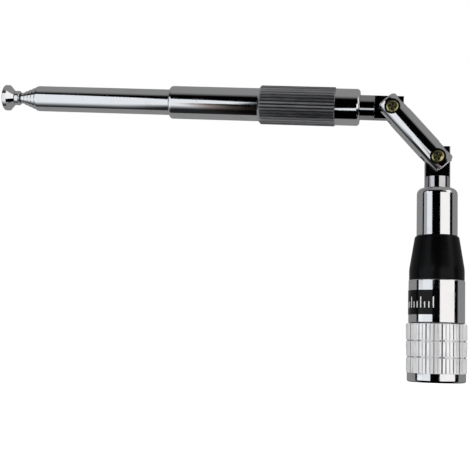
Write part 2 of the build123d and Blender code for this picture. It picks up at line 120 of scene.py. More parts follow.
class AntennaStudio(bpy.types.PropertyGroup):
    """Camera, cards and light levels."""

    focal: share("Focal length", "Lens on a 36 mm wide sensor, in millimetres", 76.6)
    camera_azimuth: angle("Camera azimuth", "Turn of the view from the front toward +X", 8.5)
    camera_elevation: angle("Camera elevation", "Height of the view over the aim point", -6.0)
    camera_roll: angle("Camera roll", "Turn of the camera about its own view", 1.52)
    camera_distance: length("Camera distance", "From the aim point to the camera", 250.4)
    aim_x: length("Aim X", "Point that the camera looks at", -49.64)
    aim_z: length("Aim Z", "Point that the camera looks at", 34.93)
    card_distance: length("Card distance", "From the antenna to the front cards", 235)
    back_level: share("Room level", "Brightness of the room behind and above", 0.25)
    card_level: share("Card level", "Brightness of the white cards", 1.0)
    lamp_power: share("Lamp power", "Power of the soft lamp, in watts", 0.8)
    lamp_size: length("Lamp size", "Side of the soft lamp", 300)
    lamp_x: length("Lamp X", "Place of the soft lamp", -180)
    lamp_distance: length("Lamp distance", "From the antenna forward to the lamp", 420)
    lamp_height: length("Lamp height", "Height of the soft lamp", 160)
    floor_drop: length("Floor drop", "Gap between the floor and the coupling ring", 0.05)
    floor_size: length("Floor size", "Length of the floor's side", 6000)
    floor_glow: share("Floor glow", "Own light of the white floor", 1.0)


class AntennaPlug(bpy.types.PropertyGroup):
    """Coupling ring of the bayonet plug."""

    radius: length("Ring radius", "Radius over the knurled bands", 7.25)
    rim_radius: length("Rim radius", "Radius of the plain front rim", 7.02)
    rim_height: length("Rim height", "Height of the plain front rim", 2.2)
    rim_edge: length("Rim edge", "Rounding of the rim's lower edge", 0.5)
    band_height: length("Band height", "Height of one knurled band with its groove", 3.9)
    band_count: count("Bands", "Knurled bands on the ring", 3)
    groove_width: length("Groove width", "Width of the groove between bands", 0.3)
    groove_depth: length("Groove depth", "Depth of grooves and flutes", 0.3)
    edge: length("Band edge", "Bevel at the edges of the bands", 0.12)
    flute_count: count("Flutes", "Flutes round the ring", 48)
    flute_width: length("Flute width", "Width of a flute at the surface", 0.38)
    front_bore: length("Front bore", "Bore radius round the barrel", 4.9)
    front_depth: length("Front depth", "Depth of the front bore", 8.2)
    back_bore: length("Back bore", "Bore radius behind the shoulder", 6.0)
    clip_bottom: length("Clip groove foot", "Height of the retaining clip's groove", 10.35)
    clip_top: length("Clip groove top", "Top of the retaining clip's groove", 11.0)
    clip_groove: length("Clip groove depth", "Depth of the retaining clip's groove", 0.45)
    peg_radius: length("Bayonet slot radius", "Half the width of a bayonet slot", 1.1)
    slot_start: length("Slot start", "Height where a bayonet slot starts to turn", 3.4)
    slot_rise: length("Slot rise", "Rise of a bayonet slot along its ramp", 2.6)
    slot_turn: angle("Slot turn", "Turn of a bayonet slot along its ramp", 80)


class AntennaBase(bpy.types.PropertyGroup):
    """Base tube, label, taper and ferrule."""

    tube_radius: length("Tube radius", "Outer radius of the base tube", 6.72)
    tube_bore: length("Tube bore", "Bore radius of the base tube", 5.52)
    tube_edge: length("Tube edge", "Rounding at the ends of the base tube", 0.25)
    label_thickness: length("Label thickness", "How far the film stands off the tube", 0.08)
    label_wrap: angle("Label wrap", "How far the film goes round the tube", 240)
    label_edge: angle("Label edge", "Turn from the front to the film's right edge", 3)
    mark_thickness: length("Mark thickness", "Height of the printed marks over the film", 0.015)
    mark_width: length("Mark width", "Width of a printed mark", 0.26)
    mark_pitch: length("Mark pitch", "Spacing of the printed marks", 1.05)
    mark_count: count("Marks", "Printed marks along the film", 18)
    mark_length: length("Mark length", "Height of a long mark", 2.6)
    taper_foot: length("Taper foot radius", "Radius at the foot of the taper", 6.61)
    taper_straight: length("Taper straight", "Height of the straight foot", 2.6)
    taper_top: length("Taper top radius", "Radius at the top of the taper", 5.27)
    taper_blend: length("Taper blend", "Radius of the bend between foot and cone", 9.0)
    taper_edge: length("Taper edge", "Rounding of the upper edge", 0.55)
    taper_spigot: length("Taper spigot", "Depth of the spigot in the base tube", 4.0)
    taper_bore: length("Taper bore", "Bore radius of the taper", 3.2)
    taper_roof: length("Taper roof", "Thickness over the bore", 2.4)
    taper_stub: length("Taper stub", "Height of the stub in the ferrule", 2.6)
    ferrule_radius: length("Ferrule radius", "Outer radius of the ferrule", 4.9)
    ferrule_bore: length("Ferrule bore", "Bore radius of the ferrule", 4.0)
    ferrule_crown: length("Ferrule crown", "Thickness of the ferrule's crown", 2.6)
    ferrule_edge: length("Ferrule edge", "Rounding of the ferrule's crown", 1.5)


class AntennaElbow(bpy.types.PropertyGroup):
    """Knuckles, link and pivot screws."""

    link_lean: angle("Link lean", "Lean of the link from straight up", 41.55)
    mast_lean: angle("Mast lean", "Lean of the mast from straight up", 87.9)
    full_bend: angle("Full bend", "Largest fold of one pivot", 50)
    lower_pivot: length("Lower pivot", "Height of the lower pivot", 54.43)
    pivot_spacing: length("Pivot spacing", "Distance between the two pivots", 16.69)
    radius: length("Bar radius", "Radius of the link and of the necks", 3.1)
    lower_neck: length("Lower neck", "From the lower neck's end to its pivot", 4.83)
    upper_neck: length("Upper neck", "From the upper neck's end to its pivot", 4.35)
    foot_height: length("Foot height", "Height of the lower knuckle's foot", 5.0)
    stub_radius: length("Stub radius", "Radius of the stub under the foot", 1.5)
    stub_bottom: length("Stub bottom", "Height of the stub's lower end", 29.04)
    tongue_half: length("Tongue half", "Half the thickness of a tongue", 1.2)
    tongue_reach: length("Tongue reach", "How far a tongue goes past its pivot", 2.75)
    fork_reach: length("Fork reach", "How far the fork goes past its pivot", 2.6)
    fork_edge: length("Fork edge", "Bevel at the link's ends", 0.45)
    slot_half: length("Slot half", "Half the width of the fork's slot", 1.25)
    slot_floor: length("Slot floor", "From the pivot to the floor of the slot", 2.85)
    tongue_bevel: length("Tongue bevel", "Broken edge of the necks and tongues", 0.07)
    link_bevel: length("Link bevel", "Broken edge of the link's slots and holes", 0.09)
    screw_bevel: length("Screw bevel", "Broken edge of the cross recess", 0.05)
    screw_seat: length("Screw seat", "From the middle to the seat of the screw's head", 2.0)
    bore_radius: length("Head bore", "Radius of the hole for the screw's head", 1.95)
    head_radius: length("Head radius", "Radius of the screw's head", 1.62)
    head_height: length("Head height", "Height of the screw's head", 0.7)
    head_edge: length("Head edge", "Rounding of the screw's head", 0.5)
    shank_radius: length("Shank radius", "Radius of the screw's shank", 1.0)
    cross_length: length("Cross length", "Length of the cross recess", 1.9)
    cross_width: length("Cross width", "Width of the cross recess", 0.5)
    cross_depth: length("Cross depth", "Depth of the cross recess", 0.45)
    neck_length: length("Upper neck length", "Length of the upper knuckle's neck", 5.5)
    face_pitch: length("Face pitch", "Length of the faces along the round bars", 0.3)
    spigot_radius: length("Spigot radius", "Radius of the spigot in the mast", 2.93)
    spigot_length: length("Spigot length", "Length of the spigot in the mast", 6.0)


class AntennaSleeve(bpy.types.PropertyGroup):
    """Locking sleeve on the mast."""

    park: length("Park", "From the upper pivot to the sleeve's collar", 7.95)
    bore: length("Bore", "Bore radius of the sleeve", 3.33)
    collar_radius: length("Collar radius", "Radius of the plain collar", 4.58)
    collar_length: length("Collar length", "Length of the plain collar", 6.1)
    collar_edge: length("Collar edge", "Rounding of the collar's end", 0.8)
    grip_radius: length("Grip radius", "Radius over the grip's ribs", 4.88)
    grip_length: length("Grip length", "Length of the fluted grip", 18.9)
    grip_edge: length("Grip edge", "Bevel at the grip's ends", 0.3)
    front_radius: length("Front radius", "Radius of the slimmer front", 4.16)
    front_length: length("Front length", "Length of the slimmer front", 23.25)
    front_edge: length("Front edge", "Rounding of the front's end", 0.75)
    cove: length("Cove", "Bevel where the front meets the grip", 0.38)
    flute_count: count("Flutes", "Flutes round the grip", 36)
    flute_width: length("Flute width", "Width of a flute at the surface", 0.5)
    flute_depth: length("Flute depth", "Depth of a flute", 0.3)
    spring_bottom: length("Spring groove foot", "From the collar's end to the spring's groove", 39.25)
    spring_top: length("Spring groove top", "From the collar's end to the groove's far side", 42.25)
    spring_depth: length("Spring groove depth", "Depth of the spring's groove", 0.35)


class AntennaMast(bpy.types.PropertyGroup):
    """Six nested sections and the tip button, measured from the upper pivot."""

    radius: length("Outer radius", "Radius of the outermost tube", 3.25)
    wall: length("Outer wall", "Wall of the outermost tube", 0.3)
    inner_radius: length("Second radius", "Radius of the second tube", 2.75)
    step: length("Radius step", "Difference between one inner section and the next", 0.425)
    inner_wall: length("Inner wall", "Wall of the inner tubes", 0.2)
    end: length("Mast end", "Where the outermost tube ends", 91.95)
    peek: length("Peek", "How far each section stands out of the one round it", 1.05)
    tube_foot: length("Tube foot", "Where the outermost tube starts", 9.87)
    inner_foot: length("Inner foot", "Where the second section starts", 16.85)
    foot_step: length("Foot step", "Between the feet of one section and the next", 0.8)
    foot_flare: length("Foot flare", "Length of a section's flared foot", 0.6)
    lip: length("Lip", "Length of a tube's rolled end", 1.0)
    lip_band: length("Lip band", "Thickness at the very end of the roll", 0.1)
    play: length("Play", "Gap between a section and its guide", 0.04)
    count: count("Sections", "Sections of the mast", 6)
    bead_radius: length("Bead radius", "Radius of the bead behind the button", 1.87)
    bead_waist: length("Bead waist", "Radius where the bead starts", 1.15)
    bead_neck: length("Bead neck", "Radius of the neck after the bead", 1.6)
    bead_gap: length("Bead gap", "Gap between the last tube and the bead", 0.2)
    bead_length: length("Bead length", "Length of the bead", 1.4)
    bead_nose: length("Bead nose", "From the waist to the bead's full radius", 0.45)
    bead_notch: length("Bead notch", "From the bead's full radius to its neck", 0.3)
    button_radius: length("Button radius", "Radius of the button", 3.31)
    button_back: length("Button back", "Length of the swelling back", 1.65)
    button_rim: length("Button rim", "Thickness of the rim", 1.15)
    button_edge: length("Button edge", "Rounding of the rim", 0.3)
    button_shoulder: length("Shoulder radius", "Radius partway up the back", 2.55)
    shoulder_length: length("Shoulder length", "From the shoulder to the rim", 0.7)
    button_crown: length("Button crown", "Height of the crowned face", 0.35)


class AntennaFinish(bpy.types.PropertyGroup):
    """Colours of the finishes."""

    chrome: colour("Chrome", "Polished plating", 0.90, 0.905, 0.92)
    # Painted shade, laid on the chrome where it lies close to another piece.
    joint: colour("Joint", "Shade beside a joint between two pieces", 0.04, 0.04, 0.045)
    chrome_dull: colour("Dull chrome", "Plating where it is handled", 0.80, 0.80, 0.82)
    milled: colour("Milled chrome", "Plating over the milled necks and tongues", 0.62, 0.62, 0.64)
    milled_dull: colour("Dull milled chrome", "The same where it is handled", 0.50, 0.50, 0.52)
    satin: colour("Satin chrome", "Plating over the knurled bands", 0.95, 0.95, 0.96)
    # Painted shade in the ring's flutes and grooves.
    groove: colour("Groove", "Shade in the ring's flutes and grooves", 0.42, 0.42, 0.43)
    lint: colour("Lint", "Dirt caught in some of the ring's flutes", 0.05, 0.05, 0.055)
    grip: colour("Grip", "Plating on the grip's ribs", 0.62, 0.62, 0.64)
    # This colour is painted shade, laid into the grip's flutes by their depth.
    flute_shade: colour("Grime", "Dirt in the grip's flutes", 0.08, 0.08, 0.085)
    moulding: colour("Black moulding", "Insulating taper", 0.002, 0.002, 0.0025)
    film: colour("Label film", "Black film round the base tube", 0.002, 0.002, 0.0025)
    ink: colour("Ink", "Printed marks", 0.82, 0.82, 0.80)
    screw: colour("Screw", "Dull yellow plating", 0.56, 0.53, 0.26)
    # The darker screw colour is both random tarnish and painted shade in the recess and by the rim.
    tarnish_and_shade: colour("Screw tarnish", "Tarnish on the screws", 0.05, 0.047, 0.02)
    # Painted shade: a near-black colour for the walls round the screws' heads.
    pocket: colour("Pocket", "Unplated wall round the screws' heads", 0.02, 0.02, 0.02)
    nickel: colour("Nickel", "Nickel over brass", 0.72, 0.69, 0.60)
    gold: colour("Gold", "Gold flash", 0.83, 0.66, 0.30)
    clip: colour("Spring brass", "Bare spring brass", 0.76, 0.60, 0.30)
    copper: colour("Copper", "Enamelled wire", 0.72, 0.42, 0.24)
    steel: colour("Steel", "Plain spring steel", 0.55, 0.55, 0.56)
    insulator: colour("Insulator", "Waxy white insulator", 0.88, 0.88, 0.86)
    gasket: colour("Gasket", "Soft silicone", 0.50, 0.14, 0.09)
    floor: colour("Floor", "White floor", 0.80, 0.80, 0.80)
    cool_card: colour("Cool card", "Light of the left cards", 0.93, 0.965, 1.0)
    brown_card: colour("Brown card", "Light of the table's edge", 1.0, 0.80, 0.72)
    warm_card: colour("Warm card", "Light of the right cards", 1.0, 0.97, 0.95)


def settings():
    """The scene, which holds the antenna's sizes and colours."""
    return bpy.context.scene


def add_node(tree, kind, **values):
    """A new node, with its attributes set by name."""
    node = tree.nodes.new(kind)
    for key, value in values.items():
        setattr(node, key, value)
    return node


def feed(tree, value, socket):
    """Sets a socket from a number or colour, or links it to another socket."""
    if isinstance(value, bpy.types.NodeSocket):
        tree.links.new(value, socket)
    else:
        socket.default_value = value


def maths(tree, operation, *values):
    """A Math node whose inputs are numbers or sockets."""
    node = add_node(tree, "ShaderNodeMath", operation=operation)
    for value, socket in zip(values, node.inputs):
        feed(tree, value, socket)
    return node.outputs[0]


def ramp(tree, value, low, high, start=0.0, end=1.0, smooth=True):
    """A number that goes from start to end while value goes from low to high."""
    node = add_node(tree, "ShaderNodeMapRange", interpolation_type="SMOOTHSTEP" if smooth else "LINEAR")
    for name, item in (
        ("Value", value), ("From Min", low), ("From Max", high), ("To Min", start), ("To Max", end)
    ):
        feed(tree, item, node.inputs[name])
    return node.outputs["Result"]


def blend_colour(tree, factor, first, second):
    """A mix that goes from the first colour to the second as the factor goes from 0 to 1."""
    node = add_node(tree, "ShaderNodeMix", data_type="RGBA")
    # The Mix node keeps a set of sockets for each kind of data: these are the ones for colours.
    factor_in, first_in, second_in, colour_out = 0, 6, 7, 2
    feed(tree, factor, node.inputs[factor_in])
    feed(tree, first, node.inputs[first_in])
    feed(tree, second, node.inputs[second_in])
    return node.outputs[colour_out]


def rgba(value):
    """A colour property as four numbers."""
    return (*value, 1.0)


def object_point(tree, stretch=(1, 1, 1)):
    """The piece's own coordinates, stretched."""
    source = add_node(tree, "ShaderNodeTexCoord")
    mapping = add_node(tree, "ShaderNodeMapping")
    mapping.inputs["Scale"].default_value = stretch
    tree.links.new(source.outputs["Object"], mapping.inputs["Vector"])
    return mapping.outputs["Vector"]


def noise(tree, point, scale, detail=3.0):
    """Smooth noise, from 0 to 1."""
    node = add_node(tree, "ShaderNodeTexNoise")
    node.inputs["Scale"].default_value = scale
    node.inputs["Detail"].default_value = detail
    tree.links.new(point, node.inputs["Vector"])
    return node.outputs["Fac"]


def bump(tree, height, distance):
    """A normal from a height, its full swing being the distance in metres."""
    node = add_node(tree, "ShaderNodeBump")
    node.inputs["Strength"].default_value = 1.0
    node.inputs["Distance"].default_value = distance
    tree.links.new(height, node.inputs["Height"])
    return node.outputs["Normal"]


def new_finish(name):
    """An empty material, its tree and its shader."""
    material = bpy.data.materials.new(name)
    material.use_nodes = True
    tree = material.node_tree
    shader = tree.nodes["Principled BSDF"]
    return material, tree, shader


def crevice(tree, reach, local=True):
    """1 on open faces and 0 deep in flutes and grooves. Unless local, other pieces shade too."""
    node = add_node(tree, "ShaderNodeAmbientOcclusion", samples=8, only_local=local)
    node.inputs["Distance"].default_value = reach
    return node.outputs["AO"]


def polished_chrome():
    """Bright plating with faint turning lines, a few dull spots and painted shade where it lies close
    to other pieces.
    """
    finish = settings().antenna_finish
    material, tree, shader = new_finish("polished_chrome")
    spots = noise(tree, object_point(tree), scale=260, detail=4)
    dulled = ramp(tree, spots, 0.55, 0.85)
    tint = blend_colour(tree, dulled, rgba(finish.chrome), rgba(finish.chrome_dull))
    # Painted shade: the plating darkens toward the joint colour where other pieces stand close by.
    joint = ramp(tree, crevice(tree, 0.5 * MM, local=False), 0.35, 0.8)
    tint = blend_colour(tree, joint, rgba(finish.joint), tint)
    tree.links.new(tint, shader.inputs["Base Color"])
    tree.links.new(ramp(tree, spots, 0.35, 0.8, start=0.07, end=0.13), shader.inputs["Roughness"])
    lines = noise(tree, object_point(tree, (0.02, 0.02, 1.0)), scale=5200, detail=2)
    tree.links.new(bump(tree, lines, distance=0.4e-6), shader.inputs["Normal"])
    shader.inputs["Metallic"].default_value = 1.0
    return material


def milled_chrome():
    """Plating over milled flats, with cutter marks along the flat."""
    finish = settings().antenna_finish
    material, tree, shader = new_finish("milled_chrome")
    spots = noise(tree, object_point(tree), scale=300, detail=4)
    dulled = ramp(tree, spots, 0.5, 0.85)
    tint = blend_colour(tree, dulled, rgba(finish.milled), rgba(finish.milled_dull))
    tree.links.new(tint, shader.inputs["Base Color"])
    tree.links.new(ramp(tree, spots, 0.35, 0.8, start=0.07, end=0.13), shader.inputs["Roughness"])
    marks = noise(tree, object_point(tree, (1.0, 0.05, 0.05)), scale=3800, detail=2)
    tree.links.new(bump(tree, marks, distance=0.6e-6), shader.inputs["Normal"])
    shader.inputs["Metallic"].default_value = 1.0
    return material


def knurled_chrome():
    """Satin plating over fine knurling, with painted shade in the flutes, some of which hold lint."""
    finish = settings().antenna_finish
    material, tree, shader = new_finish("knurled_chrome")
    open_face = crevice(tree, 0.5 * MM)
    worn = noise(tree, object_point(tree), scale=500, detail=4)
    dulled = ramp(tree, worn, 0.45, 0.85)
    tint = blend_colour(tree, dulled, rgba(finish.satin), rgba(finish.chrome_dull))
    # Painted shade: the flutes and grooves darken toward the groove colour by how enclosed they are.
    tint = blend_colour(tree, ramp(tree, open_face, 0.1, 0.7), rgba(finish.groove), tint)
    caught = noise(tree, object_point(tree, (1.0, 1.0, 0.02)), scale=620, detail=2)
    patches = ramp(tree, caught, 0.5, 0.58)
    deep = ramp(tree, open_face, 0.6, 0.85, start=1.0, end=0.0)
    caught = maths(tree, "MULTIPLY", patches, deep)
    tint = blend_colour(tree, caught, tint, rgba(finish.lint))
    tree.links.new(tint, shader.inputs["Base Color"])
    tree.links.new(ramp(tree, worn, 0.3, 0.8, start=0.16, end=0.26), shader.inputs["Roughness"])
    lines = noise(tree, object_point(tree, (1.0, 1.0, 0.03)), scale=6500, detail=2)
    tree.links.new(bump(tree, lines, distance=4e-6), shader.inputs["Normal"])
    shader.inputs["Metallic"].default_value = 0.35
    return material


def grip_chrome():
    """Bright plating over ribs, with painted shade in the flutes."""
    finish = settings().antenna_finish
    material, tree, shader = new_finish("grip_chrome")
    open_face = crevice(tree, 0.6 * MM)
    worn = noise(tree, object_point(tree), scale=420, detail=4)
    # Painted shade: the flutes darken by how enclosed they are.
    unshaded = ramp(tree, open_face, 0.4, 0.9)
    tint = blend_colour(tree, unshaded, rgba(finish.flute_shade), rgba(finish.grip))
    tree.links.new(tint, shader.inputs["Base Color"])
    tree.links.new(ramp(tree, worn, 0.3, 0.8, start=0.32, end=0.44), shader.inputs["Roughness"])
    lines = noise(tree, object_point(tree, (1.0, 1.0, 0.03)), scale=5200, detail=2)
    tree.links.new(bump(tree, lines, distance=0.8e-6), shader.inputs["Normal"])
    shader.inputs["Metallic"].default_value = 1.0
    return material


def black_moulding():
    """Semi-matte moulded plastic with a fine grain."""
    finish = settings().antenna_finish
    material, tree, shader = new_finish("black_moulding")
    grain = noise(tree, object_point(tree), scale=9000, detail=3)
    cloud = noise(tree, object_point(tree), scale=180, detail=3)
    shader.inputs["Base Color"].default_value = rgba(finish.moulding)
    tree.links.new(ramp(tree, cloud, 0.3, 0.75, start=0.22, end=0.32), shader.inputs["Roughness"])
    tree.links.new(bump(tree, grain, distance=1.5e-6), shader.inputs["Normal"])
    shader.inputs["Specular IOR Level"].default_value = 0.16
    return material


def smooth_film():
    """Smooth black film with a slight ripple."""
    finish = settings().antenna_finish
    material, tree, shader = new_finish("smooth_film")
    ripple = noise(tree, object_point(tree), scale=700, detail=2)
    shader.inputs["Base Color"].default_value = rgba(finish.film)
    tree.links.new(ramp(tree, ripple, 0.3, 0.7, start=0.08, end=0.14), shader.inputs["Roughness"])
    tree.links.new(bump(tree, ripple, distance=2e-6), shader.inputs["Normal"])
    shader.inputs["Specular IOR Level"].default_value = 0.22
    return material


def printed_ink():
    """Matt white ink with small pinholes."""
    finish = settings().antenna_finish
    material, tree, shader = new_finish("printed_ink")
    holes = noise(tree, object_point(tree), scale=6000, detail=2)
    bare = ramp(tree, holes, 0.62, 0.75)
    tint = blend_colour(tree, bare, rgba(finish.ink), rgba(finish.chrome_dull))
    tree.links.new(tint, shader.inputs["Base Color"])
    shader.inputs["Roughness"].default_value = 0.5
    return material


def screw_plating():
    """Dull yellow plating with random tarnish, and painted shade in the recess and toward the rim."""
    finish = settings().antenna_finish
    material, tree, shader = new_finish("screw_plating")
    tarnish = noise(tree, object_point(tree), scale=1500, detail=4)
    open_face = crevice(tree, 0.5 * MM)
    stained = ramp(tree, tarnish, 0.5, 0.9)
    tint = blend_colour(tree, stained, rgba(finish.screw), rgba(finish.tarnish_and_shade))
    # Painted shade: the recess and the edge by the rim darken to the tarnish colour by how enclosed
    # they are.
    tint = blend_colour(tree, ramp(tree, open_face, 0.45, 0.9), rgba(finish.tarnish_and_shade), tint)
    tree.links.new(tint, shader.inputs["Base Color"])
    tree.links.new(ramp(tree, tarnish, 0.3, 0.8, start=0.16, end=0.3), shader.inputs["Roughness"])
    tree.links.new(bump(tree, tarnish, distance=3e-6), shader.inputs["Normal"])
    shader.inputs["Metallic"].default_value = 0.92
    return material


def plain_metal(name, tone, low, high):
    """A turned metal with slight stains, for the pieces inside."""
    material, tree, shader = new_finish(name)
    stain = noise(tree, object_point(tree), scale=600, detail=4)
    darker = rgba([0.72 * part for part in tone])
    tint = blend_colour(tree, ramp(tree, stain, 0.4, 0.8), rgba(tone), darker)
    tree.links.new(tint, shader.inputs["Base Color"])
    tree.links.new(ramp(tree, stain, 0.3, 0.8, start=low, end=high), shader.inputs["Roughness"])
    tree.links.new(bump(tree, stain, distance=4e-6), shader.inputs["Normal"])
    shader.inputs["Metallic"].default_value = 1.0
    return material


def plain_plastic(name, tone, low, high):
    """A moulded plastic or rubber with a fine grain, for the pieces inside."""
    material, tree, shader = new_finish(name)
    grain = noise(tree, object_point(tree), scale=4000, detail=3)
    darker = rgba([0.85 * part for part in tone])
    tint = blend_colour(tree, ramp(tree, grain, 0.4, 0.8), rgba(tone), darker)
    tree.links.new(tint, shader.inputs["Base Color"])
    tree.links.new(ramp(tree, grain, 0.3, 0.8, start=low, end=high), shader.inputs["Roughness"])
    tree.links.new(bump(tree, grain, distance=4e-6), shader.inputs["Normal"])
    return material


def finish_named(name):
    """A finish by its name, made when it is first wanted. No CAD material has one of these names."""
    found = bpy.data.materials.get(name)
    if found:
        return found
    finish = settings().antenna_finish
    makers = {
        "polished_chrome": polished_chrome,
        "milled_chrome": milled_chrome,
        "knurled_chrome": knurled_chrome,
        "grip_chrome": grip_chrome,
        "black_moulding": black_moulding,
        "smooth_film": smooth_film,
        "printed_ink": printed_ink,
        "screw_plating": screw_plating,
    }
    if name in makers:
        return makers[name]()
    metals = {
        "nickel_plate": (finish.nickel, 0.2, 0.35),
        "gold_flash": (finish.gold, 0.15, 0.3),
        "spring_brass": (finish.clip, 0.2, 0.4),
        "enamelled_copper": (finish.copper, 0.15, 0.3),
        "sprung_steel": (finish.steel, 0.25, 0.4),
        # The pocket finish is painted shade in the counterbores round the screws.
        "painted_pocket_shade": (finish.pocket, 0.4, 0.6),
    }
    if name in metals:
        return plain_metal(name, *metals[name])
    plastics = {
        "insulator": (finish.insulator, 0.35, 0.5),
        "silicone": (finish.gasket, 0.5, 0.65),
        "bobbin": (finish.moulding, 0.4, 0.55),
    }
    return plain_plastic(name, *plastics[name])


def quarter_turns(steps, first=0):
    """The angles of the steps of a quarter of a circle."""
    return [step / steps * QUARTER for step in range(first, steps + 1)]


def eased(points):
    """Replaces each corner given as (radius, height, rounding) by an arc of short steps."""
    done = []
    total = len(points)
    steps = 6
    for place, point in enumerate(points):
        if len(point) == 2 or point[2] == 0:
            done.append((point[0], point[1]))
            continue
        corner = Vector(point[:2])
        before = (Vector(points[place - 1][:2]) - corner).normalized()
        after = (Vector(points[(place + 1) % total][:2]) - corner).normalized()
        half = before.angle(after) / 2
        back = point[2] / tan(half)
        middle = corner + (before + after).normalized() * (point[2] / sin(half))
        first = corner + before * back - middle
        last = corner + after * back - middle
        turn = first.angle_signed(last)
        for step in range(steps + 1):
            spot = middle + Matrix.Rotation(-turn * step / steps, 2) @ first
            done.append((spot.x, spot.y))
    return done


def stepped(points, pitch):
    """Adds points along the walls, so that cuts leave only small faces near their edges."""
    done = [points[0]]
    for point in points[1:]:
        last = done[-1]
        wall = abs(point[0] - last[0]) < HAIR
        steps = max(1, round(abs(point[1] - last[1]) / pitch)) if wall else 1
        for step in range(1, steps + 1):
            done.append(tuple(a + (b - a) * step / steps for a, b in zip(last, point)))
    return done


def braced(outline):
    """Adds points near both ends of each long wall, so that a rounded edge shades only itself."""
    margin = 0.05 * MM
    shortest = 8 * margin
    done = []
    for place, point in enumerate(outline):
        done.append(point)
        after = outline[(place + 1) % len(outline)]
        run = sqrt((after[0] - point[0]) ** 2 + (after[1] - point[1]) ** 2)
        if run > shortest:
            for along in (margin / run, 1 - margin / run):
                spot = [point[part] + (after[part] - point[part]) * along for part in (0, 1)]
                done.append((*spot, *point[2:]))
    return done


def mesh_object(name, bm, crease=30):
    """A linked object from a bmesh, smooth but for edges sharper than the crease."""
    bmesh.ops.remove_doubles(bm, verts=bm.verts, dist=10 * HAIR)
    bmesh.ops.recalc_face_normals(bm, faces=bm.faces)
    mesh = bpy.data.meshes.new(name)
    bm.to_mesh(mesh)
    bm.free()
    piece = bpy.data.objects.new(name, mesh)
    bpy.context.scene.collection.objects.link(piece)
    soften(piece, crease)
    return piece


def soften(piece, crease=30):
    """Smooth shading that stops at edges sharper than the crease."""
    for face in piece.data.polygons:
        face.use_smooth = True
    piece.data.set_sharp_from_angle(angle=radians(crease))


def turned(name, outline, segments=ROUND, sweep=FULL_CIRCLE, start=0.0):
    """A turned piece about Z from its closed outline of radius and height.

    A sweep of less than a full circle is closed with flat ends.
    """
    bm = bmesh.new()
    outline = braced(outline)
    whole = sweep >= FULL_CIRCLE - SLACK
    columns = segments if whole else segments + 1
    rings = []
    for radius, height in outline:
        if radius < HAIR:
            centre = bm.verts.new((0, 0, height))
            rings.append([centre] * columns)
            continue
        ring = []
        for column in range(columns):
            turn = start + sweep * column / segments
            ring.append(bm.verts.new((radius * cos(turn), radius * sin(turn), height)))
        rings.append(ring)
    total = len(outline)
    for place in range(total):
        ring, above = rings[place], rings[(place + 1) % total]
        for column in range(segments):
            after = (column + 1) % columns
            corners = [ring[column], ring[after], above[after], above[column]]
            corners = list(dict.fromkeys(corners))
            if len(corners) > 2:
                bm.faces.new(corners)
    if not whole:
        for column in (0, columns - 1):
            corners = list(dict.fromkeys(ring[column] for ring in rings))
            bm.faces.new(corners)
    return mesh_object(name, bm)


def prism(name, outline, half):
    """A block of constant thickness along Y from an outline of X and Z."""
    bm = bmesh.new()
    near = [bm.verts.new((x, -half, z)) for x, z in outline]
    far = [bm.verts.new((x, half, z)) for x, z in outline]
    bm.faces.new(near)
    bm.faces.new(far)
    total = len(outline)
    for place in range(total):
        after = (place + 1) % total
        bm.faces.new((near[place], near[after], far[after], far[place]))
    return mesh_object(name, bm)


def block(name, low, high):
    """A cutting block between two corners."""
    sides = [(low[0], low[2]), (high[0], low[2]), (high[0], high[2]), (low[0], high[2])]
    piece = prism(name, sides, 1)
    for vertex in piece.data.vertices:
        vertex.co.y = low[1] if vertex.co.y < 0 else high[1]
    return piece


def rod(name, radius, low, high):
    """A cutting rod along Y."""
    piece = turned(name, [(0, -high), (radius, -high), (radius, -low), (0, -low)], SLIM_ROUND)
    piece.data.transform(Matrix.Rotation(QUARTER, 4, "X"))
    return piece


def swept_tube(name, path, radius):
    """A round cutting tube with domed ends along a list of points."""
    points = [Vector(point) for point in path]
    sides = 28
    dome = quarter_turns(7, first=1)[:-1]
    stations = []
    lead = (points[0] - points[1]).normalized()
    tail = (points[-1] - points[-2]).normalized()
    for turn in dome:
        stations.append((points[0] + lead * radius * cos(turn), radius * sin(turn)))
    stations += [(point, radius) for point in points]
    for turn in reversed(dome):
        stations.append((points[-1] + tail * radius * cos(turn), radius * sin(turn)))
    bm = bmesh.new()
    aside = (-lead).orthogonal().normalized()
    before = None
    for place, (point, reach) in enumerate(stations):
        after = stations[min(place + 1, len(stations) - 1)]
        along = (after[0] - stations[max(place - 1, 0)][0]).normalized()
        aside = (aside - along * aside.dot(along)).normalized()
        across = along.cross(aside)
        ring = []
        for side in range(sides):
            turn = FULL_CIRCLE * side / sides
            ring.append(bm.verts.new(point + reach * (cos(turn) * aside + sin(turn) * across)))
        if before:
            for side in range(sides):
                after = (side + 1) % sides
                bm.faces.new((before[side], before[after], ring[after], ring[side]))
        else:
            bm.faces.new(ring)
        before = ring
    bm.faces.new(before)
    return mesh_object(name, bm)


def settle(piece):
    """Replaces the piece's mesh by the result of its modifiers."""
    graph = bpy.context.evaluated_depsgraph_get()
    mesh = bpy.data.meshes.new_from_object(piece.evaluated_get(graph))
    old = piece.data
    piece.modifiers.clear()
    piece.data = mesh
    bpy.data.meshes.remove(old)


def carve(piece, tools):
    """Cuts the piece with the tools and deletes them."""
    for tool in tools:
        cut = piece.modifiers.new("cut", "BOOLEAN")
        cut.operation = "DIFFERENCE"
        cut.solver = "EXACT"
        cut.object = tool
        settle(piece)
        bpy.data.objects.remove(tool)
    bm = bmesh.new()
    bm.from_mesh(piece.data)
    bmesh.ops.remove_doubles(bm, verts=bm.verts, dist=2 * SLACK)
    bmesh.ops.dissolve_degenerate(bm, edges=bm.edges, dist=SLACK)
    bm.to_mesh(piece.data)
    bm.free()
    soften(piece)


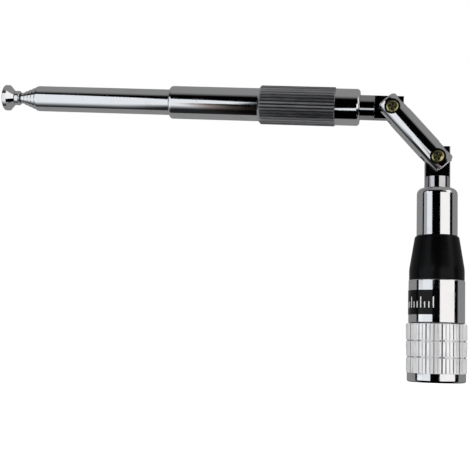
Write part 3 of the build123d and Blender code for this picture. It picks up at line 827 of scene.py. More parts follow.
def break_edges(piece, width):
    """Bevels the sharp edges slightly, as tumbling and plating leave them."""
    bevel = piece.modifiers.new("edge break", "BEVEL")
    bevel.width = width
    bevel.segments = 2
    bevel.limit_method = "ANGLE"
    bevel.angle_limit = radians(40)
    bevel.use_clamp_overlap = True
    bevel.harden_normals = True
    settle(piece)


def dress(piece, finish, body, slot, *nodes, place=None):
    """Gives a piece its finish, its place, its body and the CAD nodes it stands for. The slot is not
    used.
    """
    piece.data.materials.clear()
    piece.data.materials.append(finish_named(finish))
    if place is not None:
        piece.matrix_world = place
    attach(piece, body)
    if nodes:
        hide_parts(*nodes)
    return piece


def link_place():
    """The link's own frame, at the lower pivot with Z along the link."""
    elbow = settings().antenna_elbow
    pivot = Matrix.Translation((0, 0, elbow.lower_pivot))
    return pivot @ Matrix.Rotation(-elbow.link_lean, 4, "Y")


def mast_place():
    """The mast's own frame, at the upper pivot with Z along the mast."""
    elbow = settings().antenna_elbow
    upper = link_place() @ Vector((0, 0, elbow.pivot_spacing))
    return Matrix.Translation(upper) @ Matrix.Rotation(-elbow.mast_lean, 4, "Y")


def flute_cut(flutes, width, depth, surface):
    """A radius rule for V flutes: the radius that the flutes leave at an angle."""
    pitch = FULL_CIRCLE / flutes
    half = width / 2 / surface

    def radius_at(turn, radius):
        off = abs((turn + pitch / 2) % pitch - pitch / 2)
        if off >= half:
            return radius
        return min(radius, surface - depth * (1 - off / half))

    return radius_at


def fluted_columns(flutes, width, surface, flats):
    """Angles of the columns of a fluted turn: the edges and root of each flute, then its flat."""
    pitch = FULL_CIRCLE / flutes
    half = width / 2 / surface
    columns = []
    for flute in range(flutes):
        middle = flute * pitch
        columns += [middle - half, middle - half / 2, middle, middle + half / 2, middle + half]
        gap = pitch - 2 * half
        columns += [middle + half + gap * step / flats for step in range(1, flats)]
    return columns


def fluted(name, outline, columns, radius_at, fluted_from, fluted_to):
    """A turned piece with its own column angles, fluted between two heights of its outside."""
    bm = bmesh.new()
    rings = []
    for radius, height, outside in braced(outline):
        ring = []
        for turn in columns:
            reach = radius
            if outside and fluted_from - SLACK <= height <= fluted_to + SLACK:
                reach = radius_at(turn, radius)
            ring.append(bm.verts.new((reach * cos(turn), reach * sin(turn), height)))
        rings.append(ring)
    total = len(columns)
    for place in range(len(rings)):
        ring, above = rings[place], rings[(place + 1) % len(rings)]
        for column in range(total):
            after = (column + 1) % total
            bm.faces.new((ring[column], ring[after], above[after], above[column]))
    return mesh_object(name, bm, crease=24)


class AntennaMaker:
    """What every operator of the antenna shares."""

    bl_options = {"REGISTER"}


class ANTENNA_OT_coupling_ring(AntennaMaker, bpy.types.Operator):
    """Makes the knurled bayonet ring"""

    bl_idname = "antenna.coupling_ring"
    bl_label = "Coupling ring"

    def outline(self, plug):
        """Outside and inside of the ring, with whether each point is on the outside."""
        top = plug.rim_height + plug.band_count * plug.band_height
        floor = plug.radius - plug.groove_depth
        soft = plug.edge
        points = []
        for turn in quarter_turns(6):
            inset = plug.rim_edge * (1 - sin(turn))
            points.append((plug.rim_radius - inset, plug.rim_edge * (1 - cos(turn)), True))
        points.append((plug.rim_radius, plug.rim_height, False))
        for band in range(plug.band_count):
            bottom = plug.rim_height + band * plug.band_height
            last = band == plug.band_count - 1
            upper = bottom + plug.band_height - (0 if last else plug.groove_width)
            points += [
                (floor if band else plug.rim_radius, bottom, band > 0),
                (plug.radius - soft, bottom, True),
                (plug.radius, bottom + soft, True),
                (plug.radius, upper - soft, True),
                (plug.radius - soft, upper, True),
            ]
            if not last:
                points.append((floor, upper, True))
        inside = [
            (plug.back_bore, top),
            (plug.back_bore, plug.clip_top),
            (plug.back_bore + plug.clip_groove, plug.clip_top),
            (plug.back_bore + plug.clip_groove, plug.clip_bottom),
            (plug.back_bore, plug.clip_bottom),
            (plug.back_bore, plug.front_depth),
            (plug.front_bore, plug.front_depth),
            (plug.front_bore, soft),
            (plug.front_bore + soft, 0),
        ]
        points += [(radius, height, False) for radius, height in inside]
        return points, top

    def slot_tools(self, plug):
        """Cutting tubes for the bayonet slots: each a straight way in and a ramp."""
        steps = 24
        way_in = [(0.0, -plug.slot_start), (0.0, plug.slot_start)]
        ramp_path = [
            (plug.slot_turn * step / steps, plug.slot_start + plug.slot_rise * step / steps)
            for step in range(steps + 1)
        ]
        tools = []
        for first in (0, pi):
            for name, path in (("way_in", way_in), ("ramp", ramp_path)):
                points = [
                    (plug.front_bore * cos(first + turn), plug.front_bore * sin(first + turn), height)
                    for turn, height in path
                ]
                tools.append(swept_tube(name, points, plug.peg_radius))
        return tools

    def execute(self, context):
        plug = context.scene.antenna_plug
        outline, top = self.outline(plug)
        columns = fluted_columns(plug.flute_count, plug.flute_width, plug.radius, flats=4)
        rule = flute_cut(plug.flute_count, plug.flute_width, plug.groove_depth, plug.radius)
        ring = fluted("coupling_ring_knurled", outline, columns, rule, plug.rim_height, top)
        carve(ring, self.slot_tools(plug))
        dress(ring, "knurled_chrome", "coupling_ring", "bright_chrome", "coupling_ring")
        ring.data.materials.append(finish_named("polished_chrome"))
        for face in ring.data.polygons:
            middle = face.center
            reach = sqrt(middle.x**2 + middle.y**2)
            rim = middle.z < plug.rim_height - 0.1 * MM
            inside = reach < plug.back_bore + 0.2 * MM
            if rim or inside:
                face.material_index = 1
        return {"FINISHED"}


class ANTENNA_OT_base_tube(AntennaMaker, bpy.types.Operator):
    """Makes the chromed base tube"""

    bl_idname = "antenna.base_tube"
    bl_label = "Base tube"

    def execute(self, context):
        base = context.scene.antenna_base
        low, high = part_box("base_tube")
        tube = turned(
            "base_tube_shell",
            eased(
                [
                    (base.tube_bore, low.z),
                    (base.tube_radius, low.z, base.tube_edge),
                    (base.tube_radius, high.z, base.tube_edge),
                    (base.tube_bore, high.z),
                ]
            ),
            WIDE_ROUND,
        )
        dress(tube, "polished_chrome", "base", "bright_chrome", "base_tube")
        return {"FINISHED"}


class ANTENNA_OT_label(AntennaMaker, bpy.types.Operator):
    """Makes the black film and its plain printed marks"""

    bl_idname = "antenna.label"
    bl_label = "Label"

    def execute(self, context):
        base = context.scene.antenna_base
        low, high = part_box("label_band")
        end = base.label_edge - QUARTER
        outer = base.tube_radius + base.label_thickness
        inner = base.tube_radius + 0.002 * MM
        film = turned(
            "label_band_film",
            [(inner, low.z), (outer, low.z), (outer, high.z), (inner, high.z)],
            sweep=base.label_wrap,
            start=end - base.label_wrap,
        )
        dress(film, "smooth_film", "base", "label_film", "label_band")
        foot = (low.z + high.z) / 2 - base.mark_length / 2
        face = outer + base.mark_thickness
        root = outer - 0.01 * MM
        half = base.mark_width / 2 / outer
        margin = 1.4
        for mark in range(base.mark_count):
            # Every third mark is a long one.
            tall = base.mark_length if mark % 3 == 0 else 0.55 * base.mark_length
            turn = end - (mark + margin) * base.mark_pitch / outer
            tick = turned(
                f"label_mark_{mark + 1}",
                [(root, foot), (face, foot), (face, foot + tall), (root, foot + tall)],
                3,
                sweep=2 * half,
                start=turn - half,
            )
            dress(tick, "printed_ink", "base", "label_film")
        return {"FINISHED"}


class ANTENNA_OT_taper(AntennaMaker, bpy.types.Operator):
    """Makes the black insulating taper"""

    bl_idname = "antenna.taper"
    bl_label = "Black taper"

    def execute(self, context):
        base = context.scene.antenna_base
        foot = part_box("base_tube")[1].z
        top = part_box("ferrule")[0].z - FIT
        spigot = base.tube_bore - FIT
        stub = base.ferrule_bore - FIT
        hole = 1.52 * MM
        taper = turned(
            "taper_sleeve_moulded",
            eased(
                [
                    (base.taper_bore, foot - base.taper_spigot),
                    (spigot, foot - base.taper_spigot, 0.3 * MM),
                    (spigot, foot),
                    (base.taper_foot, foot, 0.15 * MM),
                    (base.taper_foot, foot + base.taper_straight, base.taper_blend),
                    (base.taper_top, top, base.taper_edge),
                    (stub, top),
                    (stub, top + base.taper_stub, 0.2 * MM),
                    (hole, top + base.taper_stub),
                    (hole, top - base.taper_roof),
                    (base.taper_bore, top - base.taper_roof),
                ]
            ),
            WIDE_ROUND,
        )
        dress(taper, "black_moulding", "base", "black_plastic", "taper_sleeve")
        return {"FINISHED"}


class ANTENNA_OT_ferrule(AntennaMaker, bpy.types.Operator):
    """Makes the chromed ferrule with its rounded crown"""

    bl_idname = "antenna.ferrule"
    bl_label = "Ferrule"

    def execute(self, context):
        base = context.scene.antenna_base
        elbow = context.scene.antenna_elbow
        low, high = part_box("ferrule")
        hole = elbow.radius + FIT
        cap = turned(
            "ferrule_cap",
            eased(
                [
                    (base.ferrule_bore, low.z),
                    (base.ferrule_radius, low.z, 0.12 * MM),
                    (base.ferrule_radius, high.z, base.ferrule_edge),
                    (hole, high.z, 0.1 * MM),
                    (hole, high.z - base.ferrule_crown),
                    (base.ferrule_bore, high.z - base.ferrule_crown),
                ]
            ),
            WIDE_ROUND,
        )
        dress(cap, "polished_chrome", "base", "bright_chrome", "ferrule")
        return {"FINISHED"}


def cheek_tools(elbow, bottom, top):
    """Two blocks that mill a round bar down to a flat tongue."""
    wide = 2 * elbow.radius
    return [
        block("cheek_front", (-wide, -wide, bottom), (wide, -elbow.tongue_half, top)),
        block("cheek_back", (-wide, elbow.tongue_half, bottom), (wide, wide, top)),
    ]


def corner_tool(elbow, pivot, up):
    """A block that rounds the tongue's inner corner and leaves its stop shoulder.

    The inner side is -X, and up is 1 or -1 for a tongue that points up or down.
    """
    reach = elbow.tongue_reach
    stop_gap = 0.05 * MM
    drop = elbow.radius * sin(elbow.full_bend)
    shoulder = (elbow.slot_floor - stop_gap - drop) / cos(elbow.full_bend)
    far = 2 * elbow.radius
    outline = [(-far, shoulder), (-far, 2 * reach), (0, 2 * reach), (0, reach)]
    for turn in quarter_turns(24, first=1):
        spot = (reach * cos(QUARTER + turn), reach * sin(QUARTER + turn))
        if spot[1] <= shoulder:
            break
        outline.append(spot)
    outline.append((-sqrt(reach**2 - shoulder**2), shoulder))
    outline = [(x, pivot + up * z) for x, z in outline]
    return prism("corner_tool", outline, far)


class ANTENNA_OT_knuckles(AntennaMaker, bpy.types.Operator):
    """Makes the two knuckles of the elbow, each a neck with a milled tongue"""

    bl_idname = "antenna.knuckles"
    bl_label = "Knuckles"

    def execute(self, context):
        elbow = context.scene.antenna_elbow
        base = context.scene.antenna_base
        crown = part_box("ferrule")[1].z
        foot_top = crown - base.ferrule_crown - FIT
        foot_radius = base.ferrule_bore - FIT
        neck_top = elbow.lower_pivot - elbow.lower_neck
        top = elbow.lower_pivot + elbow.tongue_reach
        lower = turned(
            "lower_knuckle_milled",
            stepped(
                [
                    (0, elbow.stub_bottom),
                    (elbow.stub_radius, elbow.stub_bottom),
                    (elbow.stub_radius, foot_top - elbow.foot_height),
                    (foot_radius, foot_top - elbow.foot_height),
                    (foot_radius, foot_top),
                    (elbow.radius, foot_top),
                    (elbow.radius, top),
                    (0, top),
                ],
                elbow.face_pitch,
            ),
        )
        cheeks = cheek_tools(elbow, neck_top, top + MM)
        carve(lower, cheeks + [corner_tool(elbow, elbow.lower_pivot, 1)])
        break_edges(lower, elbow.tongue_bevel)
        dress(lower, "milled_chrome", "base", "bright_chrome", "lower_knuckle")

        neck_end = elbow.upper_neck + elbow.neck_length
        upper = turned(
            "upper_knuckle_milled",
            stepped(
                [
                    (0, -elbow.tongue_reach),
                    (elbow.radius, -elbow.tongue_reach),
                    (elbow.radius, neck_end),
                    (elbow.spigot_radius, neck_end),
                    (elbow.spigot_radius, neck_end + elbow.spigot_length),
                    (0, neck_end + elbow.spigot_length),
                ],
                elbow.face_pitch,
            ),
        )
        cheeks = cheek_tools(elbow, -elbow.tongue_reach - MM, elbow.upper_neck)
        carve(upper, cheeks + [corner_tool(elbow, 0, -1)])
        break_edges(upper, elbow.tongue_bevel)
        place = mast_place()
        dress(upper, "milled_chrome", "mast", "bright_chrome", "upper_knuckle", place=place)
        return {"FINISHED"}


class ANTENNA_OT_link(AntennaMaker, bpy.types.Operator):
    """Makes the round link, forked at both ends and bored for its screws"""

    bl_idname = "antenna.link"
    bl_label = "Link"

    def execute(self, context):
        elbow = context.scene.antenna_elbow
        low = -elbow.fork_reach
        high = elbow.pivot_spacing + elbow.fork_reach
        bevel = elbow.fork_edge
        bar = turned(
            "link_bar_forked",
            stepped(
                [
                    (0, low),
                    (elbow.radius - bevel, low),
                    (elbow.radius, low + bevel),
                    (elbow.radius, high - bevel),
                    (elbow.radius - bevel, high),
                    (0, high),
                ],
                elbow.face_pitch,
            ),
        )
        wide = 2 * elbow.radius
        half = elbow.slot_half
        upper_floor = elbow.pivot_spacing - elbow.slot_floor
        tools = [
            block("slot_low", (-wide, -half, low - MM), (wide, half, elbow.slot_floor)),
            block("slot_high", (-wide, -half, upper_floor), (wide, half, high + MM)),
        ]
        for pivot in (0, elbow.pivot_spacing):
            lift = Matrix.Translation((0, 0, pivot))
            pocket = rod("pocket", elbow.bore_radius, -wide, -elbow.screw_seat)
            shaft = rod("shaft", elbow.shank_radius + FIT, -elbow.radius, wide)
            for tool in (pocket, shaft):
                tool.data.transform(lift)
            tools += [pocket, shaft]
        carve(bar, tools)
        break_edges(bar, elbow.link_bevel)
        dress(bar, "polished_chrome", "link", "bright_chrome", "link_bar", place=link_place())
        # The walls of the screw pockets take a near-black finish as painted shade.
        bar.data.materials.append(finish_named("painted_pocket_shade"))
        for face in bar.data.polygons:
            middle = face.center
            near = min(abs(middle.z), abs(middle.z - elbow.pivot_spacing))
            reach = sqrt(middle.x**2 + near**2)
            front_cheek = middle.y < -elbow.slot_half - FIT
            if front_cheek and reach < elbow.bore_radius + FIT:
                face.material_index = 1
        return {"FINISHED"}


class ANTENNA_OT_pivot_screws(AntennaMaker, bpy.types.Operator):
    """Makes the two pivot screws with their cross recesses"""

    bl_idname = "antenna.pivot_screws"
    bl_label = "Pivot screws"

    def execute(self, context):
        elbow = context.scene.antenna_elbow
        seat = elbow.screw_seat + FIT
        crown = seat + elbow.head_height
        flat = 0.45 * elbow.head_radius
        tail = sqrt(elbow.radius**2 - elbow.shank_radius**2) - 0.2 * MM
        # How far each cross recess is turned, in degrees.
        turns = {"lower_pivot_screw": 20, "upper_pivot_screw": -35}
        for number, (node, turn) in enumerate(turns.items()):
            outline = eased(
                [
                    (0, -tail),
                    (elbow.shank_radius, -tail, 0.1 * MM),
                    (elbow.shank_radius, seat),
                    (elbow.head_radius, seat, 0.08 * MM),
                    (elbow.head_radius, crown - 0.1 * MM, elbow.head_edge),
                    (flat, crown),
                    (0, crown),
                ]
            )
            screw = turned(f"{node}_turned", outline, SLIM_ROUND)
            screw.data.transform(Matrix.Rotation(QUARTER, 4, "X"))
            half_long, half_wide = elbow.cross_length / 2, elbow.cross_width / 2
            tools = []
            for quarter in (turn, turn + 90):
                tool = block(
                    f"cross_{quarter}",
                    (-half_long, -crown - MM, -half_wide),
                    (half_long, -crown + elbow.cross_depth, half_wide),
                )
                tool.data.transform(Matrix.Rotation(radians(quarter), 4, "Y"))
                tools.append(tool)
            carve(screw, tools)
            break_edges(screw, elbow.screw_bevel)
            place = link_place() @ Matrix.Translation((0, 0, number * elbow.pivot_spacing))
            dress(screw, "screw_plating", "link", "screw_brass", node, place=place)
        return {"FINISHED"}


class ANTENNA_OT_lock_sleeve(AntennaMaker, bpy.types.Operator):
    """Makes the locking sleeve with its fluted grip"""

    bl_idname = "antenna.lock_sleeve"
    bl_label = "Locking sleeve"

    def execute(self, context):
        sleeve = context.scene.antenna_sleeve
        grip_foot = sleeve.collar_length
        grip_top = grip_foot + sleeve.grip_length
        end = grip_top + sleeve.front_length
        soft = sleeve.grip_edge
        pocket = sleeve.bore + sleeve.spring_depth
        outside = eased(
            [
                (sleeve.bore + 0.1 * MM, 0),
                (sleeve.collar_radius, 0, sleeve.collar_edge),
                (sleeve.collar_radius, grip_foot),
                (sleeve.grip_radius - soft / 2, grip_foot),
                (sleeve.grip_radius, grip_foot + soft / 2),
                (sleeve.grip_radius, grip_top - soft),
                (sleeve.grip_radius - soft, grip_top),
                (sleeve.front_radius + sleeve.cove, grip_top),
                (sleeve.front_radius, grip_top + sleeve.cove),
                (sleeve.front_radius, end, sleeve.front_edge),
                (sleeve.bore + 0.1 * MM, end),
            ]
        )
        inside = [
            (sleeve.bore, end - 0.1 * MM),
            (sleeve.bore, sleeve.spring_top),
            (pocket, sleeve.spring_top),
            (pocket, sleeve.spring_bottom),
            (sleeve.bore, sleeve.spring_bottom),
            (sleeve.bore, 0.1 * MM),
        ]
        outline = [(radius, height, True) for radius, height in outside]
        outline += [(radius, height, False) for radius, height in inside]
        count, width, surface = sleeve.flute_count, sleeve.flute_width, sleeve.grip_radius
        columns = fluted_columns(count, width, surface, flats=3)
        rule = flute_cut(count, width, sleeve.flute_depth, surface)
        body = fluted("lock_sleeve_turned", outline, columns, rule, grip_foot, grip_top)
        place = mast_place() @ Matrix.Translation((0, 0, sleeve.park))
        dress(body, "polished_chrome", "lock_sleeve", "bright_chrome", "lock_sleeve", place=place)
        body.data.materials.append(finish_named("grip_chrome"))
        for face in body.data.polygons:
            middle = face.center
            reach = sqrt(middle.x**2 + middle.y**2)
            grip = grip_foot - SLACK < middle.z < grip_top + SLACK
            if grip and reach > sleeve.front_radius:
                face.material_index = 1
        return {"FINISHED"}


def section_radius(mast, number):
    """Radius of a section, the outermost one being number one."""
    if number == 1:
        return mast.radius
    return mast.inner_radius - (number - 2) * mast.step


def section_bore(mast, number):
    """Bore radius of a tubular section."""
    return section_radius(mast, number) - (mast.wall if number == 1 else mast.inner_wall)


def section_end(mast, number):
    """Where a section's outer end lies."""
    return mast.end + (number - 1) * mast.peek


def section_foot(mast, number):
    """Where an inner section's flared foot starts."""
    return mast.inner_foot + (number - 2) * mast.foot_step


def section_body(number):
    """Body that a section rides on."""
    return "mast" if number == 1 else f"section_{number}"


class ANTENNA_OT_mast_tubes(AntennaMaker, bpy.types.Operator):
    """Makes the five tubular sections of the mast, with their rolled ends"""

    bl_idname = "antenna.mast_tubes"
    bl_label = "Mast tubes"

    def execute(self, context):
        mast = context.scene.antenna_mast
        for number in range(1, mast.count):
            radius = section_radius(mast, number)
            bore = section_bore(mast, number)
            guide = section_radius(mast, number + 1) + mast.play
            end = section_end(mast, number)
            rim = guide + mast.lip_band
            if number == 1:
                foot = mast.tube_foot
                points = [(bore, foot), (radius, foot)]
            else:
                foot = section_foot(mast, number)
                flare = section_bore(mast, number - 1) - mast.play
                top = foot + mast.foot_flare
                points = [(bore, foot), (flare, foot), (flare, top), (radius, top)]
            steps = 12
            for step in range(steps + 1):
                along = step / steps
                swell = sqrt(1 - along**2)
                points.append((rim + (radius - rim) * swell, end - mast.lip * (1 - along)))
            points += [(guide, end - FIT), (guide, end - mast.lip / 2), (bore, end - mast.lip)]
            node = f"mast_tube_{number}"
            tube = turned(f"{node}_drawn", points)
            place = mast_place()
            dress(tube, "polished_chrome", section_body(number), "bright_chrome", node, place=place)
        return {"FINISHED"}


class ANTENNA_OT_tip(AntennaMaker, bpy.types.Operator):
    """Makes the solid innermost section and the turned button"""

    bl_idname = "antenna.tip"
    bl_label = "Tip rod and button"

    def execute(self, context):
        mast = context.scene.antenna_mast
        number = mast.count
        radius = section_radius(mast, number)
        foot = section_foot(mast, number)
        flare = section_bore(mast, number - 1) - mast.play
        end = section_end(mast, number)
        body = section_body(number)
        rod_piece = turned(
            "tip_rod_drawn",
            [
                (0, foot),
                (flare, foot),
                (flare, foot + mast.foot_flare),
                (radius, foot + mast.foot_flare),
                (radius, end - 0.1 * MM),
                (radius - 0.1 * MM, end),
                (0, end),
            ],
            SLIM_ROUND,
        )
        place = mast_place()
        dress(rod_piece, "polished_chrome", body, "bright_chrome", "tip_rod", place=place)

        start = section_end(mast, number - 1) + mast.bead_gap
        bead_end = start + mast.bead_length
        rim = bead_end + mast.button_back
        face = rim + mast.button_rim
        socket = end + FIT
        hole = radius + FIT
        points = [(0, socket), (hole, socket), (hole, start), (mast.bead_waist, start)]
        full = start + mast.bead_nose
        notch = bead_end - mast.bead_notch
        steps = 8
        for turn in quarter_turns(steps, first=1):
            reach = mast.bead_waist + (mast.bead_radius - mast.bead_waist) * sin(turn)
            points.append((reach, start + (full - start) * (1 - cos(turn))))
        for turn in quarter_turns(steps):
            reach = mast.bead_neck + (mast.bead_radius - mast.bead_neck) * cos(turn)
            points.append((reach, notch + (bead_end - notch) * sin(turn)))
        shoulder = Vector((mast.button_shoulder, rim - mast.shoulder_length))
        first, last = Vector((mast.bead_neck, bead_end)), Vector((mast.button_radius, rim))
        bend = 2 * shoulder - (first + last) / 2
        curve_steps = 14
        for step in range(1, curve_steps + 1):
            along = step / curve_steps
            spot = first.lerp(bend, along).lerp(bend.lerp(last, along), along)
            points.append((spot.x, spot.y))
        edge = mast.button_edge
        flat = mast.button_radius - edge
        for turn in quarter_turns(steps):
            reach = mast.button_radius - edge * (1 - cos(turn))
            points.append((reach, face - edge * (1 - sin(turn))))
        for step in range(1, steps + 1):
            left = 1 - step / steps
            points.append((flat * left, face + mast.button_crown * (1 - left**2)))
        button = turned("tip_button_turned", points)
        dress(button, "polished_chrome", body, "bright_chrome", "tip_button", place=place)
        return {"FINISHED"}


class ANTENNA_OT_inner_finishes(AntennaMaker, bpy.types.Operator):
    """Gives the pieces inside the plug and the mast their finishes"""

    bl_idname = "antenna.inner_finishes"
    bl_label = "Inner finishes"

    def execute(self, context):
        finishes = {
            "plug_body": "nickel_plate",
            "plug_insulator": "insulator",
            "centre_contact": "gold_flash",
            "seal_gasket": "silicone",
            "wave_washer": "sprung_steel",
            "retaining_clip": "sprung_steel",
            "coil_former": "bobbin",
            "matching_coil": "enamelled_copper",
            "sleeve_spring": "sprung_steel",
        }
        for number in range(2, context.scene.antenna_mast.count + 1):
            finishes[f"friction_clip_{number}"] = "spring_brass"
        for node, finish in finishes.items():
            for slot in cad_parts[node].material_slots:
                slot.material = finish_named(finish)
        return {"FINISHED"}


def card(name, corners, tone, level):
    """A white reflector card that lights the antenna and shows only in its reflections.

    Returns the card, its shader tree and its light's node, so that a card can be shaded further.
    """
    bm = bmesh.new()
    bm.faces.new([bm.verts.new([MM * part for part in corner]) for corner in corners])
    piece = mesh_object(name, bm)
    material = bpy.data.materials.new(name)
    material.use_nodes = True
    tree = material.node_tree
    tree.nodes.clear()
    glow = add_node(tree, "ShaderNodeEmission")
    glow.inputs["Color"].default_value = rgba(tone)
    glow.inputs["Strength"].default_value = level
    out = add_node(tree, "ShaderNodeOutputMaterial")
    tree.links.new(glow.outputs[0], out.inputs["Surface"])
    piece.data.materials.append(material)
    piece.visible_camera = False
    return piece, tree, glow


def card_point(tree):
    """Sockets with a card's own X, Y and Z in millimetres."""
    parts = add_node(tree, "ShaderNodeSeparateXYZ")
    tree.links.new(object_point(tree, (1 / MM, 1 / MM, 1 / MM)), parts.inputs[0])
    return parts.outputs


class ANTENNA_OT_stage(AntennaMaker, bpy.types.Operator):
    """Makes the camera, the pale floor, the white cards and the soft room light"""

    bl_idname = "antenna.stage"
    bl_label = "Stage"

    def add_camera(self, studio):
        """The camera at the photograph's place, with its slight roll."""
        back = Vector(
            (
                sin(studio.camera_azimuth) * cos(studio.camera_elevation),
                -cos(studio.camera_azimuth) * cos(studio.camera_elevation),
                sin(studio.camera_elevation),
            )
        )
        aim = Vector((studio.aim_x, 0, studio.aim_z))
        side = (-back).cross(Vector((0, 0, 1))).normalized()
        rise = side.cross(-back)
        roll = studio.camera_roll
        right = cos(roll) * side + sin(roll) * rise
        up = -sin(roll) * side + cos(roll) * rise
        data = bpy.data.cameras.new("camera")
        data.sensor_width = 36
        data.sensor_fit = "HORIZONTAL"
        data.lens = studio.focal
        data.clip_start = 0.01
        data.clip_end = 50
        camera = bpy.data.objects.new("camera", data)
        bpy.context.scene.collection.objects.link(camera)
        camera.matrix_world = Matrix.Translation(aim + studio.camera_distance * back) @ Matrix(
            (
                (right.x, up.x, back.x, 0),
                (right.y, up.y, back.y, 0),
                (right.z, up.z, back.z, 0),
                (0, 0, 0, 1),
            )
        )
        bpy.context.scene.camera = camera

    def add_floor(self, studio, finish):
        """A white floor that stays near white and takes only a faint shadow."""
        half = studio.floor_size / 2
        bm = bmesh.new()
        corners = [(-half, -half), (half, -half), (half, half), (-half, half)]
        bm.faces.new([bm.verts.new((x, y, -studio.floor_drop)) for x, y in corners])
        floor = mesh_object("floor", bm)
        material, tree, shader = new_finish("floor_paper")
        grain = noise(tree, object_point(tree), 900, 3)
        tree.links.new(ramp(tree, grain, 0.3, 0.7, 0.8, 0.95), shader.inputs["Roughness"])
        shader.inputs["Base Color"].default_value = rgba(finish.floor)
        shader.inputs["Emission Color"].default_value = (1, 1, 1, 1)
        shader.inputs["Emission Strength"].default_value = studio.floor_glow
        floor.data.materials.append(material)
        floor.visible_glossy = False

    def add_room(self, studio):
        """A grey room behind and above, dark in front, and plain white to the camera."""
        world = bpy.data.worlds.new("room")
        bpy.context.scene.world = world
        world.use_nodes = True
        tree = world.node_tree
        tree.nodes.clear()
        source = add_node(tree, "ShaderNodeTexCoord")
        parts = add_node(tree, "ShaderNodeSeparateXYZ")
        tree.links.new(source.outputs["Generated"], parts.inputs[0])
        behind = ramp(tree, parts.outputs["Y"], -0.02, 0.1)
        above = ramp(tree, parts.outputs["Z"], 0.6, 0.9)
        # The room is lit high up on the right too, square to the link as it leans.
        lean_x, lean_z = 0.747, 0.665
        across = maths(tree, "MULTIPLY", parts.outputs["Z"], lean_z)
        across = maths(tree, "MULTIPLY_ADD", parts.outputs["X"], lean_x, across)
        high = ramp(tree, parts.outputs["Z"], 0.3, 0.5)
        raised = maths(tree, "MULTIPLY", ramp(tree, across, 0.62, 0.88), high)
        level = maths(tree, "MAXIMUM", maths(tree, "MAXIMUM", behind, above), raised)
        level = maths(tree, "MULTIPLY", level, studio.back_level)
        room = add_node(tree, "ShaderNodeBackground")
        room.inputs["Color"].default_value = (1, 1, 1, 1)
        tree.links.new(level, room.inputs["Strength"])
        plain = add_node(tree, "ShaderNodeBackground")
        plain.inputs["Color"].default_value = (1, 1, 1, 1)
        plain.inputs["Strength"].default_value = 1.0
        seen = add_node(tree, "ShaderNodeLightPath")
        both = add_node(tree, "ShaderNodeMixShader")
        tree.links.new(seen.outputs["Is Camera Ray"], both.inputs[0])
        tree.links.new(room.outputs[0], both.inputs[1])
        tree.links.new(plain.outputs[0], both.inputs[2])
        out = add_node(tree, "ShaderNodeOutputWorld")
        tree.links.new(both.outputs[0], out.inputs["Surface"])

    def add_cards(self, studio, finish):
        """White cards in front, left and right, with the dark gap of the camera between them."""
        front = -studio.card_distance / MM
        cool, warm, level = finish.cool_card, finish.warm_card, studio.card_level
        soft = 0.9 * level

        def upright(outline):
            return [(x, front, z) for x, z in outline]

        card("card_left", upright(LEFT_CARD), cool, soft)
        card("card_right", upright(RIGHT_CARD), warm, level)
        card("card_side_right", SIDE_RIGHT_CARD, warm, level)
        card("card_high_right", HIGH_RIGHT_CARD, warm, level)
        card("flag", FLAG, warm, 0.0)
        card("card_by_link", LINK_CARD, cool, soft)
        card("card_near", NEAR_CARD, cool, soft)
        _, tree, glow = card("card_side_left", SIDE_LEFT_CARD, cool, level)
        fall = ramp(tree, card_point(tree)["Z"], 30, 75, start=level, end=0.4 * level)
        tree.links.new(fall, glow.inputs["Strength"])
        self.add_table(finish, soft)

    def add_table(self, finish, level):
        """The pale table in front on the left, brown and dim toward its edges."""
        table, tree, glow = card("card_table", TABLE_CARD, finish.cool_card, level)
        table.visible_diffuse = False
        place = card_point(tree)
        # The right-hand edge runs at a slant, and the far edge lies further back on the left.
        slant = 0.235
        aside = maths(tree, "MULTIPLY", place["X"], -1.0)
        aside = maths(tree, "MULTIPLY_ADD", place["Y"], slant, aside)
        shift = ramp(tree, aside, 72, 96, start=0, end=30)
        ahead = maths(tree, "SUBTRACT", place["Y"], shift)
        near = ramp(tree, ahead, -38, -120, start=0.02, end=1.0)
        side = maths(tree, "POWER", ramp(tree, aside, 36, 65.5, smooth=False), 3.0)
        fall = maths(tree, "MULTIPLY", maths(tree, "MULTIPLY", near, side), level)
        tree.links.new(fall, glow.inputs["Strength"])
        pale = ramp(tree, aside, 54, 68)
        tone = blend_colour(tree, pale, rgba(finish.brown_card), rgba(finish.cool_card))
        tree.links.new(tone, glow.inputs["Color"])

    def add_lamp(self, studio):
        """A large soft lamp in front on the left, which shows in no reflection."""
        data = bpy.data.lights.new("soft_lamp", "AREA")
        data.shape = "SQUARE"
        data.size = studio.lamp_size
        data.energy = studio.lamp_power
        lamp = bpy.data.objects.new("soft_lamp", data)
        bpy.context.scene.collection.objects.link(lamp)
        spot = Vector((studio.lamp_x, -studio.lamp_distance, studio.lamp_height))
        facing = (-spot).to_track_quat("-Z", "Y").to_matrix().to_4x4()
        lamp.matrix_world = Matrix.Translation(spot) @ facing
        lamp.visible_glossy = False

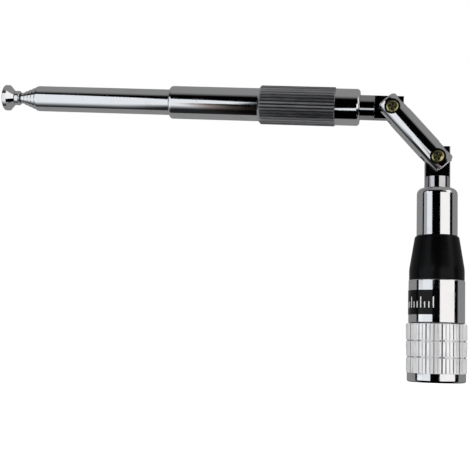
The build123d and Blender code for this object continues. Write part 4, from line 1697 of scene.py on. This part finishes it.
    def execute(self, context):
        studio = context.scene.antenna_studio
        finish = context.scene.antenna_finish
        self.add_camera(studio)
        self.add_floor(studio, finish)
        self.add_room(studio)
        self.add_cards(studio, finish)
        self.add_lamp(studio)
        context.scene.view_settings.view_transform = "Standard"
        context.scene.view_settings.look = "None"
        return {"FINISHED"}


operators = (
    ANTENNA_OT_coupling_ring,
    ANTENNA_OT_base_tube,
    ANTENNA_OT_label,
    ANTENNA_OT_taper,
    ANTENNA_OT_ferrule,
    ANTENNA_OT_knuckles,
    ANTENNA_OT_link,
    ANTENNA_OT_pivot_screws,
    ANTENNA_OT_lock_sleeve,
    ANTENNA_OT_mast_tubes,
    ANTENNA_OT_tip,
    ANTENNA_OT_inner_finishes,
    ANTENNA_OT_stage,
)


class ANTENNA_PT_panel(bpy.types.Panel):
    """Lists the antenna's operators and sizes"""

    bl_idname = "ANTENNA_PT_panel"
    bl_label = "Telescopic antenna"
    bl_space_type = "VIEW_3D"
    bl_region_type = "UI"
    bl_category = "Antenna"

    def draw(self, context):
        layout = self.layout
        for operator in operators:
            layout.operator(operator.bl_idname, text=operator.bl_label)
        for name in groups:
            box = layout.box()
            group = getattr(context.scene, name)
            for key in group.bl_rna.properties.keys():
                if key not in ("rna_type", "name"):
                    box.prop(group, key)


groups = {
    "antenna_studio": AntennaStudio,
    "antenna_plug": AntennaPlug,
    "antenna_base": AntennaBase,
    "antenna_elbow": AntennaElbow,
    "antenna_sleeve": AntennaSleeve,
    "antenna_mast": AntennaMast,
    "antenna_finish": AntennaFinish,
}


def register():
    """Adds the groups of sizes, the operators and the panel."""
    for name, group in groups.items():
        bpy.utils.register_class(group)
        setattr(bpy.types.Scene, name, PointerProperty(type=group))
    for operator in operators:
        bpy.utils.register_class(operator)
    bpy.utils.register_class(ANTENNA_PT_panel)


def unregister():
    """Takes them away again, in the opposite order."""
    bpy.utils.unregister_class(ANTENNA_PT_panel)
    for operator in reversed(operators):
        bpy.utils.unregister_class(operator)
    for name, group in reversed(groups.items()):
        delattr(bpy.types.Scene, name)
        bpy.utils.unregister_class(group)


def main():
    """Registers the add-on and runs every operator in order."""
    register()
    for operator in operators:
        family, call = operator.bl_idname.split(".")
        getattr(getattr(bpy.ops, family), call)()


if __name__ == "__main__":
    main()
